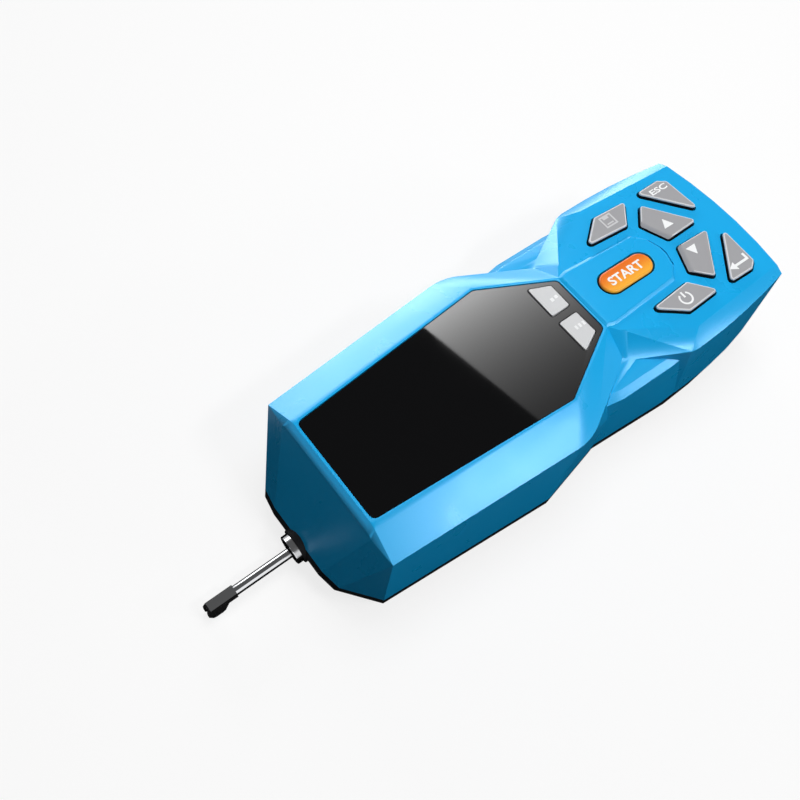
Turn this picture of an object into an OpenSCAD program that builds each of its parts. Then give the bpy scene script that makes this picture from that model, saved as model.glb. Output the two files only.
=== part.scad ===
// Handheld surface roughness tester: moulded case, display, keypad, drive and pickup.
// +Z is up, -Y is the pickup end, and the origin lies on the rest face under the middle of the case.
// Lengths are millimetres.

/* [Case] */
// Distance from the origin to the front edge
head_l = 78; // [76:0.5:92]
// Distance from the origin to the back edge
tail_l = 79; // [78:0.5:92]
// Height of the display lip above the rest face
body_h = 39.5; // [39:0.5:46]
// Width across the front corners
front_w = 56; // [54:0.5:60]
// Width across the shoulders
shoulder_w = 65; // [63:0.5:70]
// Width at the waist, where the grip starts
waist_w = 54.4; // [53:0.2:57]
// Width across the palm bulges
grip_w = 59; // [57.5:0.5:62]
// Width at the back corners
back_w = 48; // [47:0.5:51]
// Width of the flat part of the sloped nose, at the rest face
nose_w = 22; // [18:0.5:28]
// Drop of the display chamfers
chamfer_drop = 4.7; // [4:0.1:5.5]
// Drop from the lip to the front of the thumb ledges
ledge_drop = 5.2; // [5:0.1:6.5]
// Slope of the thumb ledges towards the back
ledge_tilt = 4; // [2:0.2:5]
// Drop from the lip to the lower edge of the keypad facets
facet_drop = 4.9; // [4.4:0.1:5.4]
// Wall of both mouldings
wall = 2.2; // [1.6:0.1:2.4]
// Height of the joint between the two mouldings
base_h = 11.2; // [10.8:0.1:13]
// Height of the tapered part of the lower moulding
taper_h = 8.8; // [7:0.1:9.5]
// Inset of the rest face
taper_inset = 3; // [1.5:0.1:4]
// Thickness of the lower moulding's floor
floor_t = 2; // [1.6:0.1:2.2]

/* [Display] */
// Distance from the front edge to the window
window_setback = 15.2; // [14:0.1:18]
// Width of the window at its front edge
window_front_w = 33.6; // [31:0.2:35]
// Width of the window at its side corners
window_side_w = 42.8; // [40:0.2:45]
// Width of the window at its back edge
window_back_w = 19.2; // [17:0.2:21]
// Back edge of the window, behind the origin
window_back = 20.7; // [19.5:0.1:21.5]
// Thickness of the window
window_t = 1.5; // [1:0.1:1.8]
// Depth of the window's face under the lip
window_sink = 0.25; // [0.1:0.05:0.5]
// Width of the lip around the window
lip = 0.9; // [0.6:0.1:1.4]
// Width of the ledge that carries the window
window_ledge = 1.8; // [1.2:0.1:2]
// Width of the display panel
lcd_w = 29; // [26:0.5:29.5]
// Length of the display panel
lcd_l = 48; // [40:1:54]
// Thickness of the display panel
lcd_t = 4; // [3:0.2:4.6]

/* [Keypad] */
// Slope of the keypad deck
deck_tilt = 4; // [3:0.2:4.6]
// Extra slope of the recessed start pad
pad_tilt = 2; // [1:0.1:2.2]
// Width of the deck at its widest
deck_w = 49.2; // [47:0.2:51]
// Width of the deck at its back corners
deck_back_w = 45.4; // [44:0.2:47]
// Distance from the back edge to the middle of the key group
keypad_setback = 24; // [23.5:0.1:26]
// Height of the grey keys above the deck
key_rise = 1.2; // [0.8:0.1:1.6]
// Gap around each key
key_gap = 0.45; // [0.25:0.05:0.5]
// Press travel of the keys
key_travel = 0.6; // [0.3:0.1:0.8]
// Width of the hidden flange around each key
key_flange = 0.9; // [0.7:0.1:1]
// Thickness of the hidden flange
flange_t = 0.9; // [0.6:0.1:1]
// Rounding of the key corners
key_round = 0.8; // [0.4:0.1:1]
// Length of the start key
start_l = 18.4; // [15:0.2:19]
// Width of the start key
start_w = 7.4; // [6:0.2:8]

/* [Electronics] */
// Drop from the lip to the underside of the circuit board
board_drop = 12; // [11.7:0.1:13]
// Thickness of the circuit board
board_t = 1.6; // [1:0.2:1.6]
// Width of the circuit board
board_w = 41; // [38:0.5:42]
// Height of the key switches
switch_h = 2.1; // [1.6:0.1:2.2]
// Width of the battery pack
battery_w = 33; // [28:0.5:34]
// Length of the battery pack
battery_l = 44; // [36:1:46]
// Height of the battery pack
battery_h = 14; // [10:0.5:18]
// Width of the data socket
usb_w = 7.6; // [6:0.2:8]
// Height of the data socket
usb_h = 2.9; // [2.4:0.1:3.2]

/* [Pickup and drive] */
// Height of the pickup's axis above the rest face
pickup_z = 5.9; // [5.8:0.1:6.4]
// Height of the collar's axis and the guide rods above the pickup's axis
collar_lift = 1.5; // [1.3:0.1:1.8]
// Diameter of the pickup tube
tube_d = 3; // [2.4:0.1:3.4]
// Gap between the collar and the pickup's nose when the pickup is drawn in
nose_gap = 0.7; // [0.5:0.1:8]
// Diameter of the guide collar
collar_d = 9; // [8:0.2:9.2]
// Length of the guide collar ahead of the case
collar_reach = 2.3; // [1.5:0.1:4]
// Traverse of the pickup
traverse = 17.5; // [10:0.5:18]
// Diameter of the guide rods
rod_d = 3; // [2:0.1:3.4]
// Distance between the guide rods
rod_pitch = 24; // [22:0.5:25]
// Diameter of the lead screw
screw_d = 4; // [3:0.1:4.4]
// Height of the lead screw above the guide rods
screw_rise = 8.3; // [8.2:0.1:9]
// Diameter of the drive motor
motor_d = 15; // [12:0.5:15.5]
// Length of the drive motor
motor_l = 22; // [16:0.5:24]
// Size of the drive gears' teeth, as a module
gear_module = 0.5; // [0.4:0.05:0.5]
// Running clearance of shafts in bores, on the radius
run_gap = 0.05; // [0.03:0.01:0.08]

/* [Fasteners] */
// Thread diameter of the case screws
case_screw_d = 2.5; // [2:0.1:2.8]
// Head diameter of the case screws
case_head_d = 4.6; // [4:0.1:5]
// Thread diameter of the small screws
small_screw_d = 1.7; // [1.4:0.1:2]
// Head diameter of the small screws
small_head_d = 3.2; // [2.8:0.1:3.4]

/* [Hidden] */
$fn = 48;

// Colours
case_blue = "#0894DA";
base_black = "#1B1D20";
glass_black = "#0B0C0E";
key_grey = "#A3A0A4";
soft_key_silver = "#C4C4C8";
start_orange = "#EE7C18";
board_green = "#1F5B3A";
steel = "#C9CCD1";
brass = "#C7A252";
socket_black = "#26282C";

// Levels and edges that several pieces share
front_y = -head_l;
back_y = tail_l;
chamfer_z = body_h - chamfer_drop;
facet_z = body_h - facet_drop;
deck_y = window_back + lip;
roof_t = window_sink + window_t + 1.45;
cut = 1;
fit_gap = 0.02;

// Plain vector and outline helpers
function unit(v) = v / norm(v);
function turned(v, a) = [v[0] * cos(a) - v[1] * sin(a), v[0] * sin(a) + v[1] * cos(a)];
function crossed(a, b) = a[0] * b[1] - a[1] * b[0];
function both_sides(half) = concat(half, [for (i = [len(half) - 1:-1:0]) [-half[i][0], half[i][1]]]);
function flipped(pts) = [for (i = [len(pts) - 1:-1:0]) [-pts[i][0], pts[i][1]]];
function middle(pts) = [for (k = [0:1]) [for (p = pts) 1] * [for (p = pts) p[k]] / len(pts)];
function level(pts, z) = [for (p = pts) [p[0], p[1], z]];
function width_at(half, y) = lookup(y, [for (p = half) [p[1], p[0]]]);

// Moves every edge of a convex outline outwards by d
function grown(pts, d) = let (n = len(pts)) [
  for (i = [0:n - 1])
    let (
      u = unit(pts[i] - pts[(i + n - 1) % n]),
      v = unit(pts[(i + 1) % n] - pts[i]),
      a = [u[1], -u[0]],
      b = [v[1], -v[0]]
    )
      pts[i] + d * (a + b) / (1 + a * b)
];

// Arc of radius r in place of the corner b between a and c
function corner_arc(a, b, c, r, steps) =
  let (
    u = unit(a - b),
    v = unit(c - b),
    half = acos(u * v) / 2,
    hub = b + unit(u + v) * r / sin(half),
    start = b + u * r / tan(half) - hub,
    sweep = (180 - 2 * half) * sign(crossed(b - a, c - b))
  )
    [for (i = [0:steps]) hub + turned(start, sweep * i / steps)];

function rounded(pts, r, steps = 3) = let (n = len(pts)) [
  for (i = [0:n - 1]) each corner_arc(pts[(i + n - 1) % n], pts[i], pts[(i + 1) % n], r, steps)
];

// Case outlines, right half, from front to back
shoulder_y = -14.5;
front_corner_y = front_y + 9.4;
nose_rake = 11.1;
corner_rake = 3.6;
nose_lip_drop = 1.45;
window_front = front_y + window_setback;
window_side_y = -0.5;
grip_y = 34;
back_corner_y = back_y - 2.4;
bend_y = 43;
curve_steps = 4;

function tail_side(x0, x1, y0, y1) = [
  for (i = [0:curve_steps]) let (k = i / curve_steps) [x0 - (x0 - x1) * k * k, y0 + (y1 - y0) * k]
];
function tail_end(x1, y1, bow) = [for (k = [0.6, 0.2]) [x1 * k, y1 + bow * (1 - k * k)]];

head_foot = [
  [nose_w / 2, front_y],
  [nose_w / 2 + 6, front_y + 1],
  [front_w / 2, front_corner_y],
  [shoulder_w / 2, shoulder_y],
  [waist_w / 2 + 0.6, 6.2],
  [waist_w / 2 - 5, 24]
];
shoulder_top = [shoulder_w / 2 - 0.35, -2.5];
head_chamfer = concat(
  [[nose_w / 2 + 6.6, front_y + nose_rake], [front_w / 2, front_corner_y + corner_rake]],
  corner_arc([front_w / 2, front_corner_y + corner_rake], shoulder_top, [16.8, 24.5], 16, 5),
  [[16.8, 24.5]]
);
window_half = [
  [window_front_w / 2, window_front],
  [window_side_w / 2, window_side_y],
  [window_back_w / 2, window_back]
];
window_edge = both_sides(window_half);
head_top = grown(window_edge, lip);
nose_lip = both_sides([[window_front_w / 2 + 1.5, window_front - 2.8]]);

tail_foot = concat(
  [[waist_w / 2, 2]],
  tail_side(grip_w / 2, back_w / 2, grip_y, back_corner_y),
  tail_end(back_w / 2, back_corner_y, 2.2)
);
ledge_chamfer = 2.2;
thumb_wall = [
  [waist_w / 2 - 1.2, 6],
  [grip_w / 2 - 2.1, 14],
  [grip_w / 2 - 1.9, 32],
  [grip_w / 2 - 5, back_corner_y - 2]
];
thumb_ledge = [for (p = thumb_wall) p - [ledge_chamfer, 0]];
thumb_crown = [[12, 10], [14, 30], [14, 50]];
crown_z = body_h - 3.6;

function ledge_level(pts, drop) =
  [for (p = pts) [p[0], p[1], body_h - ledge_drop - (p[1] - thumb_wall[0][1]) * tan(ledge_tilt) - drop]];

facet_w = deck_w + 8.6;
facet_back_w = deck_back_w + 5.4;
keypad_foot = concat(
  [[grip_w / 2 - 0.2, bend_y - 5]],
  tail_side(grip_w / 2 - 0.2, back_w / 2, bend_y, back_corner_y),
  tail_end(back_w / 2, back_corner_y, 2.2)
);
keypad_facet = concat(
  [[19.2, 20.2], [25.2, 33.2], [facet_w / 2 - 0.4, bend_y - 5.4]],
  tail_side(facet_w / 2, facet_back_w / 2, bend_y - 3, back_corner_y),
  tail_end(facet_back_w / 2, back_corner_y, 2.6)
);
deck_edge = concat(
  [[13.2, 24.3], [deck_w / 2, bend_y], [deck_back_w / 2, back_corner_y + 0.4]],
  tail_end(deck_back_w / 2, back_corner_y + 0.4, 2)
);

function deck_z(y) = body_h - (y - deck_y) * tan(deck_tilt);
function on_deck_level(pts, drop) = [for (p = pts) [p[0], p[1], deck_z(p[1]) - drop]];

// Keys, right half of the layout, measured from the middle of the key group
keypad_y = back_y - keypad_setback;
power_shape = [[13.3, -19.7], [20, -11.2], [19.4, 0.8], [12.2, -5]];
enter_shape = [[19.6, 5.5], [19.8, 14.3], [18, 16.8], [4.2, 17.6]];
down_shape = [[10.1, -1.6], [15.6, 3.4], [2.8, 13], [2, 12.4], [1.7, 2]];
soft_shape = [[1.4, 11.8], [12.3, 11.9], [9.3, 18.1], [1.4, 18]];
start_y = keypad_y - 16.9;
pad_half = [
  [window_back_w / 2 + 1, deck_y - 0.2],
  [window_back_w / 2 + 0.8, deck_y + 8.4],
  [start_w / 2 + 5, start_y + 10.4],
  [start_w / 2 + 1.5, start_y + 14.2],
  [1, start_y + 15.4]
];

function key_place(shape) = [for (p = shape) [p[0], p[1] + keypad_y]];
function in_deck(pts) = [for (p = pts) [p[0], (p[1] - deck_y) / cos(deck_tilt)]];

power_edge = key_place(power_shape);
enter_edge = key_place(enter_shape);
down_edge = key_place(down_shape);
save_edge = flipped(power_edge);
escape_edge = flipped(enter_edge);
up_edge = flipped(down_edge);
soft_edge_right = soft_shape;
soft_edge_left = flipped(soft_shape);
deck_keys = [power_edge, enter_edge, down_edge, save_edge, escape_edge, up_edge];
soft_keys = [soft_edge_left, soft_edge_right];

board_z = body_h - board_drop;
board_top = board_z + board_t;
switch_top = board_top + switch_h;
plunger_r = 1.4;
plunger_gap = key_travel + 0.3;
window_under = body_h - window_sink - window_t;
window_round = 1.6;
soft_round = 0.5;
slot_depth = 4;
usb_x = board_w / 2 - 9.5;

// Screw places
boss_r = 3;
boss_inset = 7;
boss_top = board_z - 3.5;
function boss_spot(half, y) = [width_at(half, y) - boss_inset, y];
boss_half = [
  boss_spot(head_foot, front_y + 21),
  boss_spot(head_foot, -20),
  boss_spot(tail_foot, back_y - 17)
];
boss_spots = concat(boss_half, [for (p = boss_half) [-p[0], p[1]]]);
case_head_h = 2;
case_head_sink = 0.6;
case_thread_l = boss_top - case_head_sink - case_head_h - 4.2;
boss_bore_top = boss_top - 2.8;
small_head_h = 1;
post_thread_l = 3;
board_front = front_y + 24;
board_back = back_y - 5;
post_r = 2.2;
post_inset = 1.5;
post_half = [[board_w / 2 - post_inset, board_front + 5], [window_back_w / 2 + 0.4, deck_y + 5.4]];
post_spots = concat(post_half, [for (p = post_half) [-p[0], p[1]]], [[0, board_back - 2.7]]);

// Drive places along the pickup's axis
collar_back = front_y + 8.5;
collar_front = front_y - collar_reach;
nose_back = collar_front - traverse - nose_gap;
plate_t = 3;
frame_w = 34;
frame_front = front_y + 12;
socket_front = frame_front + plate_t + 1;
socket_l = 8;
socket_r = 2.8;
carriage_front = socket_front + socket_l;
carriage_l = 14;
rear_plate = carriage_front + carriage_l + traverse + 2.5;
gear_front = rear_plate + plate_t + 1.2;
gear_t = 3;
motor_plate = gear_front + gear_t + 3.6;
frame_floor_t = 1.6;
rail_z = pickup_z + collar_lift;
screw_z = rail_z + screw_rise;
plate_h = screw_z + 5.5;
gear_teeth = 24;
pinion_teeth = 12;
pinion_x = gear_module * (gear_teeth + pinion_teeth) / 2;
shaft_r = 0.75;
shaft_l = 6;
motor_boss_r = 2.5;
bush_r = screw_d / 2 + 1.2;
nut_r = screw_d / 2 + 2;
frame_screws = [
  for (x = [-1, 1]) for (y = [frame_front + 9, motor_plate - 5.5]) [x * (frame_w / 2 - 2.6), y]
];

// Stylus places inside the nose of the pickup
pivot_y = nose_back - 1.2;
tip_y = nose_back - 7;
pin_r = 0.4;
slot_w = 1.3;
arm_w = 0.9;
sole_z = 0.8;
tip_z = 0.35;

// Solid with flat faces around a set of points
module faceted(points) {
  hull() polyhedron(points = points, faces = [[for (i = [0:len(points) - 1]) i]]);
}

module prism(outline, z0, z1) {
  translate([0, 0, z0]) linear_extrude(z1 - z0) polygon(outline);
}

// Turns children so that their Z runs along +Y, at a place on the XZ plane
module along_y(x, y, z) {
  translate([x, y, z]) rotate([-90, 0, 0]) children();
}

module rod_y(x, z, y0, y1, r) {
  along_y(x, y0, z) cylinder(r = r, h = y1 - y0);
}

module on_deck() {
  translate([0, deck_y, body_h]) rotate([-deck_tilt, 0, 0]) children();
}

module pill(l, w) {
  square([w, l - w], center = true);
  for (s = [-1, 1]) translate([0, s * (l - w) / 2]) circle(d = w);
}

module start_place() {
  translate([0, (start_y - deck_y) / cos(deck_tilt)]) children();
}

// Case blocks: display head, palm grip and keypad
module head_block() {
  faceted(concat(
    level(both_sides(head_foot), taper_h),
    level(both_sides(head_chamfer), chamfer_z),
    level(nose_lip, body_h - nose_lip_drop),
    level(head_top, body_h)
  ));
}

module grip_block() {
  faceted(concat(
    level(both_sides(tail_foot), taper_h),
    ledge_level(both_sides(thumb_wall), 0.75 * ledge_chamfer),
    ledge_level(both_sides(thumb_ledge), 0),
    level(both_sides(thumb_crown), crown_z)
  ));
}

module keypad_block() {
  faceted(concat(
    level(both_sides(keypad_foot), taper_h),
    level(both_sides(keypad_facet), facet_z),
    on_deck_level(both_sides(deck_edge), 0)
  ));
}

module head_hollow() {
  faceted(concat(
    level(grown(both_sides(head_foot), -wall), base_h - cut),
    level(grown(both_sides(head_chamfer), -wall), chamfer_z - 0.6 * wall),
    level(grown(head_top, -wall), body_h - roof_t)
  ));
}

module grip_hollow() {
  faceted(concat(
    level(grown(both_sides(tail_foot), -wall), base_h - cut),
    ledge_level(grown(both_sides(thumb_ledge), -wall), wall)
  ));
}

module keypad_hollow() {
  faceted(concat(
    level(grown(both_sides(keypad_foot), -wall), base_h - cut),
    level(grown(both_sides(keypad_facet), -wall), facet_z - 0.6 * wall),
    on_deck_level(grown(both_sides(deck_edge), -wall), wall),
    on_deck_level(both_sides([[8, deck_y + 1]]), wall)
  ));
}

// Screw bosses with a rib to the side wall, and posts for the circuit board
module case_bosses() {
  for (p = boss_spots) {
    translate([p[0], p[1], base_h]) cylinder(r = boss_r, h = boss_top - base_h);
    translate([p[0] + (p[0] > 0 ? 0 : -boss_inset + wall / 2), p[1] - 0.8, base_h])
      cube([boss_inset - wall / 2, 1.6, boss_top - base_h]);
  }
}

module board_posts() {
  for (p = post_spots) {
    top = p[1] < deck_y ? body_h - roof_t + 0.8 : deck_z(p[1]) - wall / 2;
    translate([p[0], p[1], board_top]) cylinder(r = post_r, h = top - board_top);
  }
}

module usb_opening(gap) {
  depth = 9;
  translate([usb_x - usb_w / 2 - gap, back_y - depth, board_z - usb_h - gap])
    cube([usb_w + 2 * gap, depth + cut, usb_h + 2 * gap]);
}

module upper_case() {
  color(case_blue) difference() {
    union() {
      difference() {
        union() {
          head_block();
          grip_block();
          keypad_block();
        }
        head_hollow();
        grip_hollow();
        keypad_hollow();
        translate([-shoulder_w, front_y - cut, 0])
          cube([2 * shoulder_w, back_y - front_y + 2 * cut, base_h]);
      }
      case_bosses();
      board_posts();
    }
    prism(grown(rounded(window_edge, window_round), 0.15), window_under, body_h + cut);
    prism(grown(window_edge, -window_ledge), chamfer_z - slot_depth, body_h);
    for (e = soft_keys) prism(grown(e, key_flange + key_gap), chamfer_z - slot_depth, body_h);
    translate([0, deck_y, body_h])
      rotate([-deck_tilt - pad_tilt, 0, 0])
        linear_extrude(slot_depth)
          polygon([for (p = both_sides(pad_half)) [p[0], p[1] - deck_y]]);
    on_deck() for (e = deck_keys)
      translate([0, 0, -slot_depth])
        linear_extrude(2 * slot_depth) polygon(grown(rounded(in_deck(e), key_round), key_gap));
    on_deck() start_place()
      translate([0, 0, -slot_depth])
        linear_extrude(2 * slot_depth) pill(start_l + 2 * key_gap, start_w + 2 * key_gap);
    rod_y(0, rail_z, front_y - 6, collar_back, collar_d / 2 + 0.3);
    usb_opening(0.25);
    for (p = boss_spots)
      translate([p[0], p[1], base_h - cut])
        cylinder(d = case_screw_d + 2 * fit_gap, h = boss_bore_top - base_h + cut);
    for (p = post_spots)
      translate([p[0], p[1], board_top - cut])
        cylinder(d = small_screw_d + 2 * fit_gap, h = post_thread_l + 1.6);
  }
}

// Lower moulding: a flush band, a tapered foot, screw pillars and the seat of the guide collar
module foot_taper(half) {
  outline = both_sides(half);
  faceted(concat(level(outline, taper_h), level(grown(outline, -taper_inset), 0)));
}

module foot_hollow(half) {
  outline = both_sides(half);
  floor_inset = wall + taper_inset * (1 - floor_t / taper_h);
  faceted(concat(
    level(grown(outline, -wall), base_h + cut),
    level(grown(outline, -wall), taper_h),
    level(grown(outline, -floor_inset), floor_t)
  ));
}

module base_cover() {
  seat_w = collar_d + 7;
  color(base_black) difference() {
    union() {
      difference() {
        union() {
          intersection() {
            union() {
              head_block();
              grip_block();
            }
            translate([-shoulder_w, front_y - cut, taper_h])
              cube([2 * shoulder_w, back_y - front_y + 2 * cut, base_h - taper_h]);
          }
          foot_taper(head_foot);
          foot_taper(tail_foot);
        }
        foot_hollow(head_foot);
        foot_hollow(tail_foot);
      }
      for (p = boss_spots)
        translate([p[0], p[1], floor_t / 2]) cylinder(r = boss_r, h = base_h - floor_t / 2);
      translate([-seat_w / 2, front_y + 3.2, floor_t / 2])
        cube([seat_w, collar_back - front_y - 3.2, base_h - floor_t / 2]);
    }
    rod_y(0, rail_z, front_y - 6, collar_back + cut, collar_d / 2 + fit_gap);
    for (p = boss_spots) {
      translate([p[0], p[1], -cut]) cylinder(d = case_screw_d + 0.3, h = base_h + 2 * cut);
      translate([p[0], p[1], -cut]) cylinder(d = case_head_d + 0.4, h = case_head_sink + case_head_h + cut);
    }
    for (p = frame_screws)
      translate([p[0], p[1], 0.6]) cylinder(d = small_screw_d + 2 * fit_gap, h = floor_t);
  }
}

// Display
module window_glass() {
  color(glass_black) difference() {
    prism(rounded(window_edge, window_round), window_under, window_under + window_t);
    for (e = soft_keys)
      prism(grown(rounded(e, soft_round), 0.25), window_under - cut, body_h);
  }
}

module lcd_panel() {
  lcd_front = window_front + 4.8;
  color("#3A4048") translate([-lcd_w / 2, lcd_front, window_under - lcd_t]) cube([lcd_w, lcd_l, lcd_t]);
}

// Circuit board with a switch under every key
module main_board() {
  corner = 5;
  outline = both_sides([
    [board_w / 2 - corner, board_front],
    [board_w / 2, board_front + corner],
    [board_w / 2, board_back - 2 * corner],
    [board_w / 2 - corner, board_back]
  ]);
  color(board_green) difference() {
    prism(outline, board_z, board_top);
    for (p = post_spots)
      translate([p[0], p[1], board_z - cut]) cylinder(d = small_screw_d + 0.4, h = board_t + 2 * cut);
  }
}

switch_spots = concat(
  [for (e = deck_keys) middle(e)],
  [for (e = soft_keys) middle(e)],
  [[0, start_y]]
);

module key_switches() {
  color(base_black) for (p = switch_spots) translate([p[0], p[1], board_top]) {
    translate([-2, -2, 0]) cube([4, 4, switch_h - 0.5]);
    cylinder(d = 2, h = switch_h);
  }
}

// A deck key: cap through the deck, flange under it and a plunger over its switch
module plunger(spot, top) {
  foot = switch_top + plunger_gap;
  translate([spot[0], spot[1], foot]) cylinder(r = plunger_r, h = top - foot);
}

flange_top = -wall - 0.3;

module deck_key(edge) {
  spot = middle(edge);
  on_deck() {
    translate([0, 0, flange_top - flange_t / 2])
      linear_extrude(key_rise - flange_top + flange_t / 2) polygon(rounded(in_deck(edge), key_round));
    translate([0, 0, flange_top - flange_t])
      linear_extrude(flange_t) polygon(grown(rounded(in_deck(edge), key_round), key_flange));
  }
  plunger(spot, deck_z(spot[1]) + flange_top - flange_t / 2);
}

module power_key() { color(key_grey) deck_key(power_edge); }
module enter_key() { color(key_grey) deck_key(enter_edge); }
module down_key() { color(key_grey) deck_key(down_edge); }
module save_key() { color(key_grey) deck_key(save_edge); }
module escape_key() { color(key_grey) deck_key(escape_edge); }
module up_key() { color(key_grey) deck_key(up_edge); }

module start_key() {
  color(start_orange) {
    on_deck() start_place() {
      translate([0, 0, flange_top - flange_t / 2])
        linear_extrude(key_rise - flange_top + flange_t / 2) pill(start_l, start_w);
      translate([0, 0, flange_top - flange_t])
        linear_extrude(flange_t) pill(start_l + 2 * key_flange, start_w + 2 * key_flange);
    }
    plunger([0, start_y], deck_z(start_y) + flange_top - flange_t / 2);
  }
}

// A soft key comes up through the window, with its flange under the glass
module soft_key(edge) {
  flange_z = window_under - 0.3 - flange_t;
  prism(rounded(edge, soft_round), flange_z + flange_t / 2, body_h + 0.15);
  prism(grown(rounded(edge, soft_round), key_flange - 0.3), flange_z, flange_z + flange_t);
  plunger(middle(edge), flange_z + flange_t / 2);
}

module soft_key_left() { color(soft_key_silver) soft_key(soft_edge_left); }
module soft_key_right() { color(soft_key_silver) soft_key(soft_edge_right); }

// Power and data
module battery_pack() {
  battery_back = back_y - 13;
  color("#3D6EA8")
    translate([-battery_w / 2, battery_back - battery_l, floor_t]) cube([battery_w, battery_l, battery_h]);
}

module usb_socket() {
  shell_t = 0.4;
  depth = 6.5;
  socket_back = back_y - 1.9;
  color(steel) difference() {
    translate([usb_x - usb_w / 2, socket_back - depth, board_z - usb_h]) cube([usb_w, depth, usb_h]);
    translate([usb_x - usb_w / 2 + shell_t, socket_back - depth + 2, board_z - usb_h + shell_t])
      cube([usb_w - 2 * shell_t, depth, usb_h - 2 * shell_t]);
  }
}

// Drive: a channel frame with three plates carries the rods, the screw and the motor
module drive_frame() {
  color("#8E949B") difference() {
    union() {
      translate([-frame_w / 2, frame_front, floor_t])
        cube([frame_w, motor_plate + plate_t - frame_front, frame_floor_t]);
      for (y = [frame_front, rear_plate, motor_plate])
        translate([-frame_w / 2, y, floor_t]) cube([frame_w, plate_t, plate_h - floor_t]);
    }
    for (s = [-1, 1])
      rod_y(s * rod_pitch / 2, rail_z, frame_front - cut, rear_plate + plate_t + cut, rod_d / 2 + fit_gap);
    translate([-socket_r - 1, frame_front + plate_t, floor_t - cut])
      cube([2 * socket_r + 2, rear_plate - frame_front - plate_t, frame_floor_t + 2 * cut]);
    rod_y(0, pickup_z, frame_front - cut, frame_front + plate_t + cut, tube_d / 2 + 0.7);
    for (y = [frame_front, rear_plate])
      rod_y(0, screw_z, y - cut, y + plate_t + cut, bush_r + fit_gap);
    rod_y(pinion_x, screw_z, motor_plate - cut, motor_plate + plate_t + cut, motor_boss_r + fit_gap);
    for (p = frame_screws)
      translate([p[0], p[1], floor_t - cut]) cylinder(d = small_screw_d + 0.3, h = frame_floor_t + 2 * cut);
  }
}

module guide_rods() {
  color(steel) for (s = [-1, 1])
    rod_y(s * rod_pitch / 2, rail_z, frame_front, rear_plate + plate_t, rod_d / 2);
}

module screw_bushes() {
  color(brass) for (y = [frame_front, rear_plate]) difference() {
    rod_y(0, screw_z, y, y + plate_t, bush_r);
    rod_y(0, screw_z, y - cut, y + plate_t + cut, screw_d / 2 + run_gap);
  }
}

module lead_screw() {
  color(steel) rod_y(0, screw_z, frame_front, gear_front + gear_t, screw_d / 2);
}

// Gear outline with straight-sided teeth, a tooth on the +X axis when phase is 0
function gear_outline(teeth, phase) =
  let (
    r = gear_module * teeth / 2,
    tip = r + 0.8 * gear_module,
    root = r - 1.2 * gear_module,
    pitch = 360 / teeth
  )
    [for (i = [0:teeth - 1]) for (c = [[root, -0.3], [tip, -0.11], [tip, 0.11], [root, 0.3]])
      let (a = phase + pitch * (i + c[1])) [c[0] * cos(a), c[0] * sin(a)]];

module screw_gear() {
  color(brass) difference() {
    along_y(0, gear_front, screw_z) linear_extrude(gear_t) polygon(gear_outline(gear_teeth, 0));
    rod_y(0, screw_z, gear_front - cut, gear_front + gear_t + cut, screw_d / 2 + fit_gap);
  }
}

module motor_pinion() {
  color(brass) {
    along_y(pinion_x, gear_front, screw_z)
      linear_extrude(gear_t) polygon(gear_outline(pinion_teeth, 180 / pinion_teeth));
    rod_y(pinion_x, screw_z, gear_front, motor_plate + shaft_l, shaft_r);
  }
}

module drive_motor() {
  color(steel) difference() {
    union() {
      rod_y(pinion_x, screw_z, motor_plate + plate_t, motor_plate + plate_t + motor_l, motor_d / 2);
      rod_y(pinion_x, screw_z, motor_plate, motor_plate + plate_t + cut, motor_boss_r);
    }
    rod_y(pinion_x, screw_z, motor_plate - cut, motor_plate + shaft_l + 0.5, shaft_r + run_gap);
  }
}

// Carriage with the lead nut above and the pickup's socket in front
module carriage() {
  half_w = rod_pitch / 2 + rod_d / 2 + 2;
  slide_h = 6.4;
  color("#5C6168") difference() {
    union() {
      translate([-half_w, carriage_front, rail_z - slide_h / 2]) cube([2 * half_w, carriage_l, slide_h]);
      translate([-nut_r - 2, carriage_front, rail_z])
        cube([2 * nut_r + 4, carriage_l, screw_rise + nut_r + 1]);
    }
    for (s = [-1, 1])
      rod_y(s * rod_pitch / 2, rail_z, carriage_front - cut, carriage_front + carriage_l + cut,
        rod_d / 2 + run_gap);
    rod_y(0, screw_z, carriage_front - cut, carriage_front + carriage_l + cut, nut_r + fit_gap);
  }
}

module lead_nut() {
  color(brass) difference() {
    rod_y(0, screw_z, carriage_front, carriage_front + carriage_l, nut_r);
    rod_y(0, screw_z, carriage_front - cut, carriage_front + carriage_l + cut, screw_d / 2 + run_gap);
  }
}

module sensor_socket() {
  color(socket_black) difference() {
    rod_y(0, pickup_z, socket_front, carriage_front, socket_r);
    rod_y(0, pickup_z, socket_front - cut, carriage_front - 1, tube_d / 2 + fit_gap);
  }
}

// Pickup: collar in the case, tube, slotted nose with its skid, and the stylus on its pin
module guide_collar() {
  color(steel) difference() {
    rod_y(0, rail_z, collar_front, collar_back, collar_d / 2);
    rod_y(0, pickup_z, collar_front - cut, collar_back + cut, tube_d / 2 + run_gap);
    rod_y(0, rail_z, collar_front - cut, collar_front + 0.8, collar_d / 2 - 1.1);
  }
}

module sensor_tube() {
  color(steel) rod_y(0, pickup_z, nose_back, carriage_front - 1, tube_d / 2);
}

// Outline in the YZ plane, given as [y, z] pairs, made w wide across X
module side_plate(outline, w) {
  rotate([90, 0, 90]) translate([0, 0, -w / 2]) linear_extrude(w) polygon(outline);
}

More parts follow.
